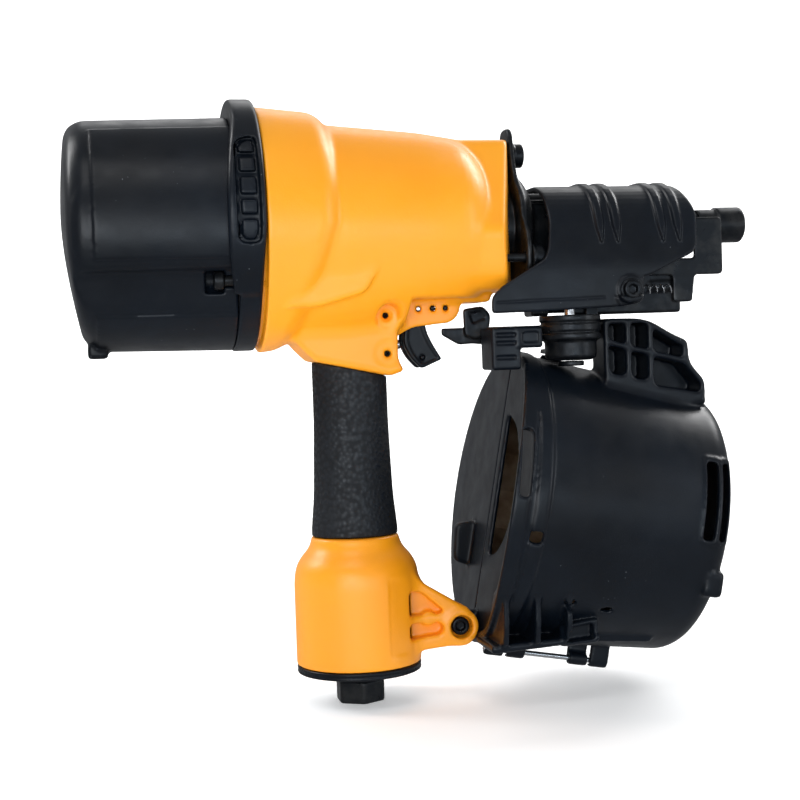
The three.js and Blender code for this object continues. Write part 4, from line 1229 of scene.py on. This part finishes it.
def canister_body():
    """The fixed half of the magazine drum, on the right of the tool."""
    field = Field((-27, -88, -99), (121, 1, 118), 1.0)
    field.add(drum_outside())
    field.add(near_lip)
    canister_bracket(field)
    lower_flange(field)
    front_slots(field)
    field.cut(drum_inside())
    opening = [(-8, 49, 5), (-30, 42, 9), (-44, 22, 12), (-46, 2, 12), (-38, -20, 12), (-22, -32, 8),
               (-8, -34, 5)]
    field.cut(plate(opening, (-5, 5), "x"), 0.6)
    field.engrave(wall_hole(-17, -6.5, 3.2, 19, 3.1), 4.5, 0.4, ((-20, -90, -8), (8, -55, 60)))
    for angle, x, along, across in ((10, 4, 3.4, 3.4), (36.7, 34, 3.2, 1.8), (39.4, 57, 3.2, 1.8)):
        near = ((x - 8, -90, -70), (x + 8, -40, 10))
        field.cut(wall_hole(angle, x, along, across, 1.7), 0.4, near)
    field.add(rod("x", DRUM_AXIS, 14, (116.5, 119.5), 0.4))
    field.cut(rod("x", DRUM_AXIS, 5.4, (100, 130)), 0.3)
    field.cut(slab((-60, -0.4, -130), (180, 130, 130)), 0.4)
    hinge_knuckles(field, (22, 74), -1)
    return field


def canister_door():
    """The half of the drum that swings open, with a lip for the latch and a finger tab."""
    field = Field((-13, -5, -96), (121, 88, 89), 1.1)
    field.add(drum_outside())
    tab = [(-12, -21, 4), (3, -17, 3), (3, -46, 3), (-10, -44, 4)]
    field.add(plate(tab, (26, 33), edge=1.6), 1.5)
    field.cut(drum_inside())
    for z in (-45, -15, 15, 45):
        field.emboss(slab((14, 60, z - 1.6), (104, 90, z + 1.6)), 1, 0.5)
    field.cut(rod("x", DRUM_AXIS, 14.6, (110, 130)), 0.4)
    field.cut(slab((-60, -130, -130), (180, 0.4, 130)), 0.4)
    field.add(slab((18, 2.5, 80), (32, 5, 86.6), 0.6), 0.8)
    hinge_knuckles(field, (9, 61), 1)
    return field


def canister_latch():
    """A spring clip that closes over the seam of the drum."""
    field = Field((18, -13, 84.5), (32, 10, 92.5), 0.4)
    clip = [(-11, 86.2, 1), (-5, 87.4), (8.5, 87.4), (8.5, 90, 1), (-9, 90.6, 2)]
    field.add(plate(clip, (19, 31), "x", 0.6))
    for x in (22, 25, 28):
        field.cut(slab((x - 0.5, -2, 89.4), (x + 0.5, 20, 95)), 0.3)
    field.cut(rod("x", (-8.4, 88.4), 1.3, (10, 40)), 0.2)
    return field


def platform_post():
    field = Field((21, -11, -11), (120, 11, 11), 0.5)
    field.add(rod("x", DRUM_AXIS, 5, (22, 119), 0.8))
    field.add(rod("x", DRUM_AXIS, 10, (113, 116.2), 0.6), 0.8)
    for x in range(36, 104, 8):
        field.engrave(turned([(x - 1, 0), (x - 1, 12), (x + 1, 12), (x + 1, 0)]), 0.7, 0.3)
    return field


def nail_platform():
    """The disc that the coil of nails stands on, with holes and a hub that slides on the post."""
    field = Field((65, -63, -63), (81, 63, 63), 0.8)
    field.add(rod("x", DRUM_AXIS, 62, (70, 73), 0.8))
    field.add(rod("x", DRUM_AXIS, 12, (66, 80), 0.8), 2)
    for angle in range(0, 360, 60):
        centre = around(angle, 38)
        field.cut(rod("x", centre, 9, (60, 90)), 0.6)
    field.cut(rod("x", DRUM_AXIS, 5.5, (60, 90)), 0.5)
    return field


def arm_bolt():
    return socket_bolt("y", ARM_BOLT, (5.2, -18, -13.3), (3, -13.4, 4), 3)


def arm_nut():
    field = Field((-48, -2, -237), (-31, 5, -220), 0.45)
    field.add(prism("y", ARM_BOLT, 10.4, (-0.9, 3.9), 0.7))
    field.cut(rod("y", ARM_BOLT, 3.3, (-5, 8)), 0.4)
    return field


# ---- Stage and camera ----

VIEW_TARGET = Vector((-0.01314, 0, 0.17231))
VIEW_AZIMUTH = math.radians(-12)
VIEW_ELEVATION = math.radians(2)
VIEW_DISTANCE = 0.858
VIEW_ROLL = math.radians(2)
VIEW_LENS = 66.6


def make_camera():
    back = Vector((
        math.sin(VIEW_AZIMUTH) * math.cos(VIEW_ELEVATION),
        -math.cos(VIEW_AZIMUTH) * math.cos(VIEW_ELEVATION),
        math.sin(VIEW_ELEVATION),
    ))
    right = Vector((0, 0, 1)).cross(back).normalized()
    up = back.cross(right)
    level_x = right * math.cos(VIEW_ROLL) - up * math.sin(VIEW_ROLL)
    level_y = up * math.cos(VIEW_ROLL) + right * math.sin(VIEW_ROLL)
    data = bpy.data.cameras.new("camera")
    data.lens = VIEW_LENS
    camera = bpy.data.objects.new("camera", data)
    bpy.context.scene.collection.objects.link(camera)
    turn = Matrix((level_x, level_y, back)).transposed().to_4x4()
    camera.matrix_world = Matrix.Translation(VIEW_TARGET + back * VIEW_DISTANCE) @ turn
    bpy.context.scene.camera = camera


def area_light(name, place, size, power, color=(1, 1, 1), target=VIEW_TARGET):
    data = bpy.data.lights.new(name, "AREA")
    data.shape = "RECTANGLE"
    data.size, data.size_y = size
    data.energy = power
    data.color = color
    lamp = bpy.data.objects.new(name, data)
    bpy.context.scene.collection.objects.link(lamp)
    lamp.location = place
    aim = Vector(target) - Vector(place)
    lamp.rotation_euler = aim.to_track_quat("-Z", "Y").to_euler()


def make_backdrop():
    """A pale paper floor that runs up into a wall."""
    near_edge, depth, rise, width, bend = -3.0, 1.2, 2.5, 6.0, 0.6
    profile = [(near_edge, 0.0), (depth, 0.0)]
    profile += [(depth + bend * math.sin(a), bend - bend * math.cos(a))
                for a in np.linspace(0.1, math.pi / 2, 12)]
    profile.append((depth + bend, rise))
    points = [(x, y, z) for y, z in profile for x in (-width / 2, width / 2)]
    faces = [(2 * i, 2 * i + 1, 2 * i + 3, 2 * i + 2) for i in range(len(profile) - 1)]
    mesh = bpy.data.meshes.new("backdrop")
    mesh.from_pydata(points, [], faces)
    mesh.shade_smooth()
    backdrop = bpy.data.objects.new("backdrop", mesh)
    bpy.context.scene.collection.objects.link(backdrop)
    paper = Shader("backdrop", (0.9, 0.9, 0.9), 0.8)
    paper.uneven(paper.noise(4, 2), 0.75, 0.85)
    paper.bsdf.inputs["Emission Color"].default_value = (1, 1, 1, 1)
    paper.bsdf.inputs["Emission Strength"].default_value = 0.3
    mesh.materials.append(paper.material)
    backdrop.visible_glossy = False


def make_lights():
    """Soft lights round the tool, two on the paper behind it, and a dim even surround."""
    area_light("key", (-0.7, -1.7, 0.4), (1.0, 0.7), 11, (0.92, 0.96, 1.0))
    area_light("top", (-0.4, -0.9, 1.7), (0.9, 0.6), 5)
    area_light("side", (1.5, -1.0, 0.4), (0.5, 1.1), 6, (0.9, 0.95, 1.0))
    area_light("low_front", (0.2, -1.6, 0.2), (1.2, 0.3), 4, (0.75, 0.88, 1.0))
    area_light("back", (0.4, 1.3, 1.4), (1.6, 0.6), 5)
    area_light("backdrop_left", (-1.6, 0.9, 1.6), (1.0, 1.0), 34, target=(-0.2, 1.8, 0.4))
    area_light("backdrop_right", (1.6, 0.9, 1.6), (1.0, 1.0), 34, target=(0.2, 1.8, 0.4))
    world = bpy.data.worlds.new("studio")
    world.use_nodes = True
    world.node_tree.nodes["Background"].inputs["Color"].default_value = (0.95, 0.97, 1.0, 1)
    world.node_tree.nodes["Background"].inputs["Strength"].default_value = 0.3
    bpy.context.scene.world = world
    bpy.context.scene.view_settings.view_transform = "Standard"


# ---- Assembly ----

make_camera()
make_backdrop()
make_lights()
dress_nodes()

ABOUT_DRIVE = [
    housing, rear_cap, exhaust_deflector, grip_sleeve, end_cap, air_fitting, trigger, trigger_lever,
    valve_body, valve_stem, nosepiece, nose_cover, cover_screw, nose_door, nose_door_latch,
    contact_tip, contact_arm, feed_cylinder, feed_plug, magazine_mount, arm_bolt, arm_nut,
]
ABOUT_DRUM = [canister_body, canister_door, canister_latch, platform_post, nail_platform]
PINS = [
    ("trigger_pin", "y", TRIGGER_PIVOT, 1.5, (-11.8, 11.8)),
    ("trigger_lever_pin", "y", LEVER_PIVOT, 1.2, (-7.8, 7.8)),
    ("nose_door_pin", "x", DOOR_HINGE, 2, (13.5, 102.5)),
]
PINS += [(f"roll_pin_{i}", "y", place, 1.5, (-20, 20), 0.8) for i, place in enumerate(ROLL_PINS, 1)]
PINS += [(f"guide_pin_{i}", "y", place, 1.3, (-11.8, 11.8)) for i, place in enumerate(GUIDE_PINS, 1)]

for make in ABOUT_DRIVE:
    piece(make.__name__, make())
for make in ABOUT_DRUM:
    piece(make.__name__, make(), CANISTER_FRAME)
for node, *size in PINS:
    piece(node, pin(*size))
for i, angle in enumerate(CAP_BOLT_ANGLES, 1):
    piece(f"cap_bolt_{i}", cap_bolt(angle))
for i, place in enumerate(NOSE_BOLTS, 1):
    piece(f"nose_bolt_{i}", nose_bolt(place))
piece("canister_hinge_pin", pin("x", CANISTER_HINGE, 1.6, (8.5, 86.5)), CANISTER_FRAME)
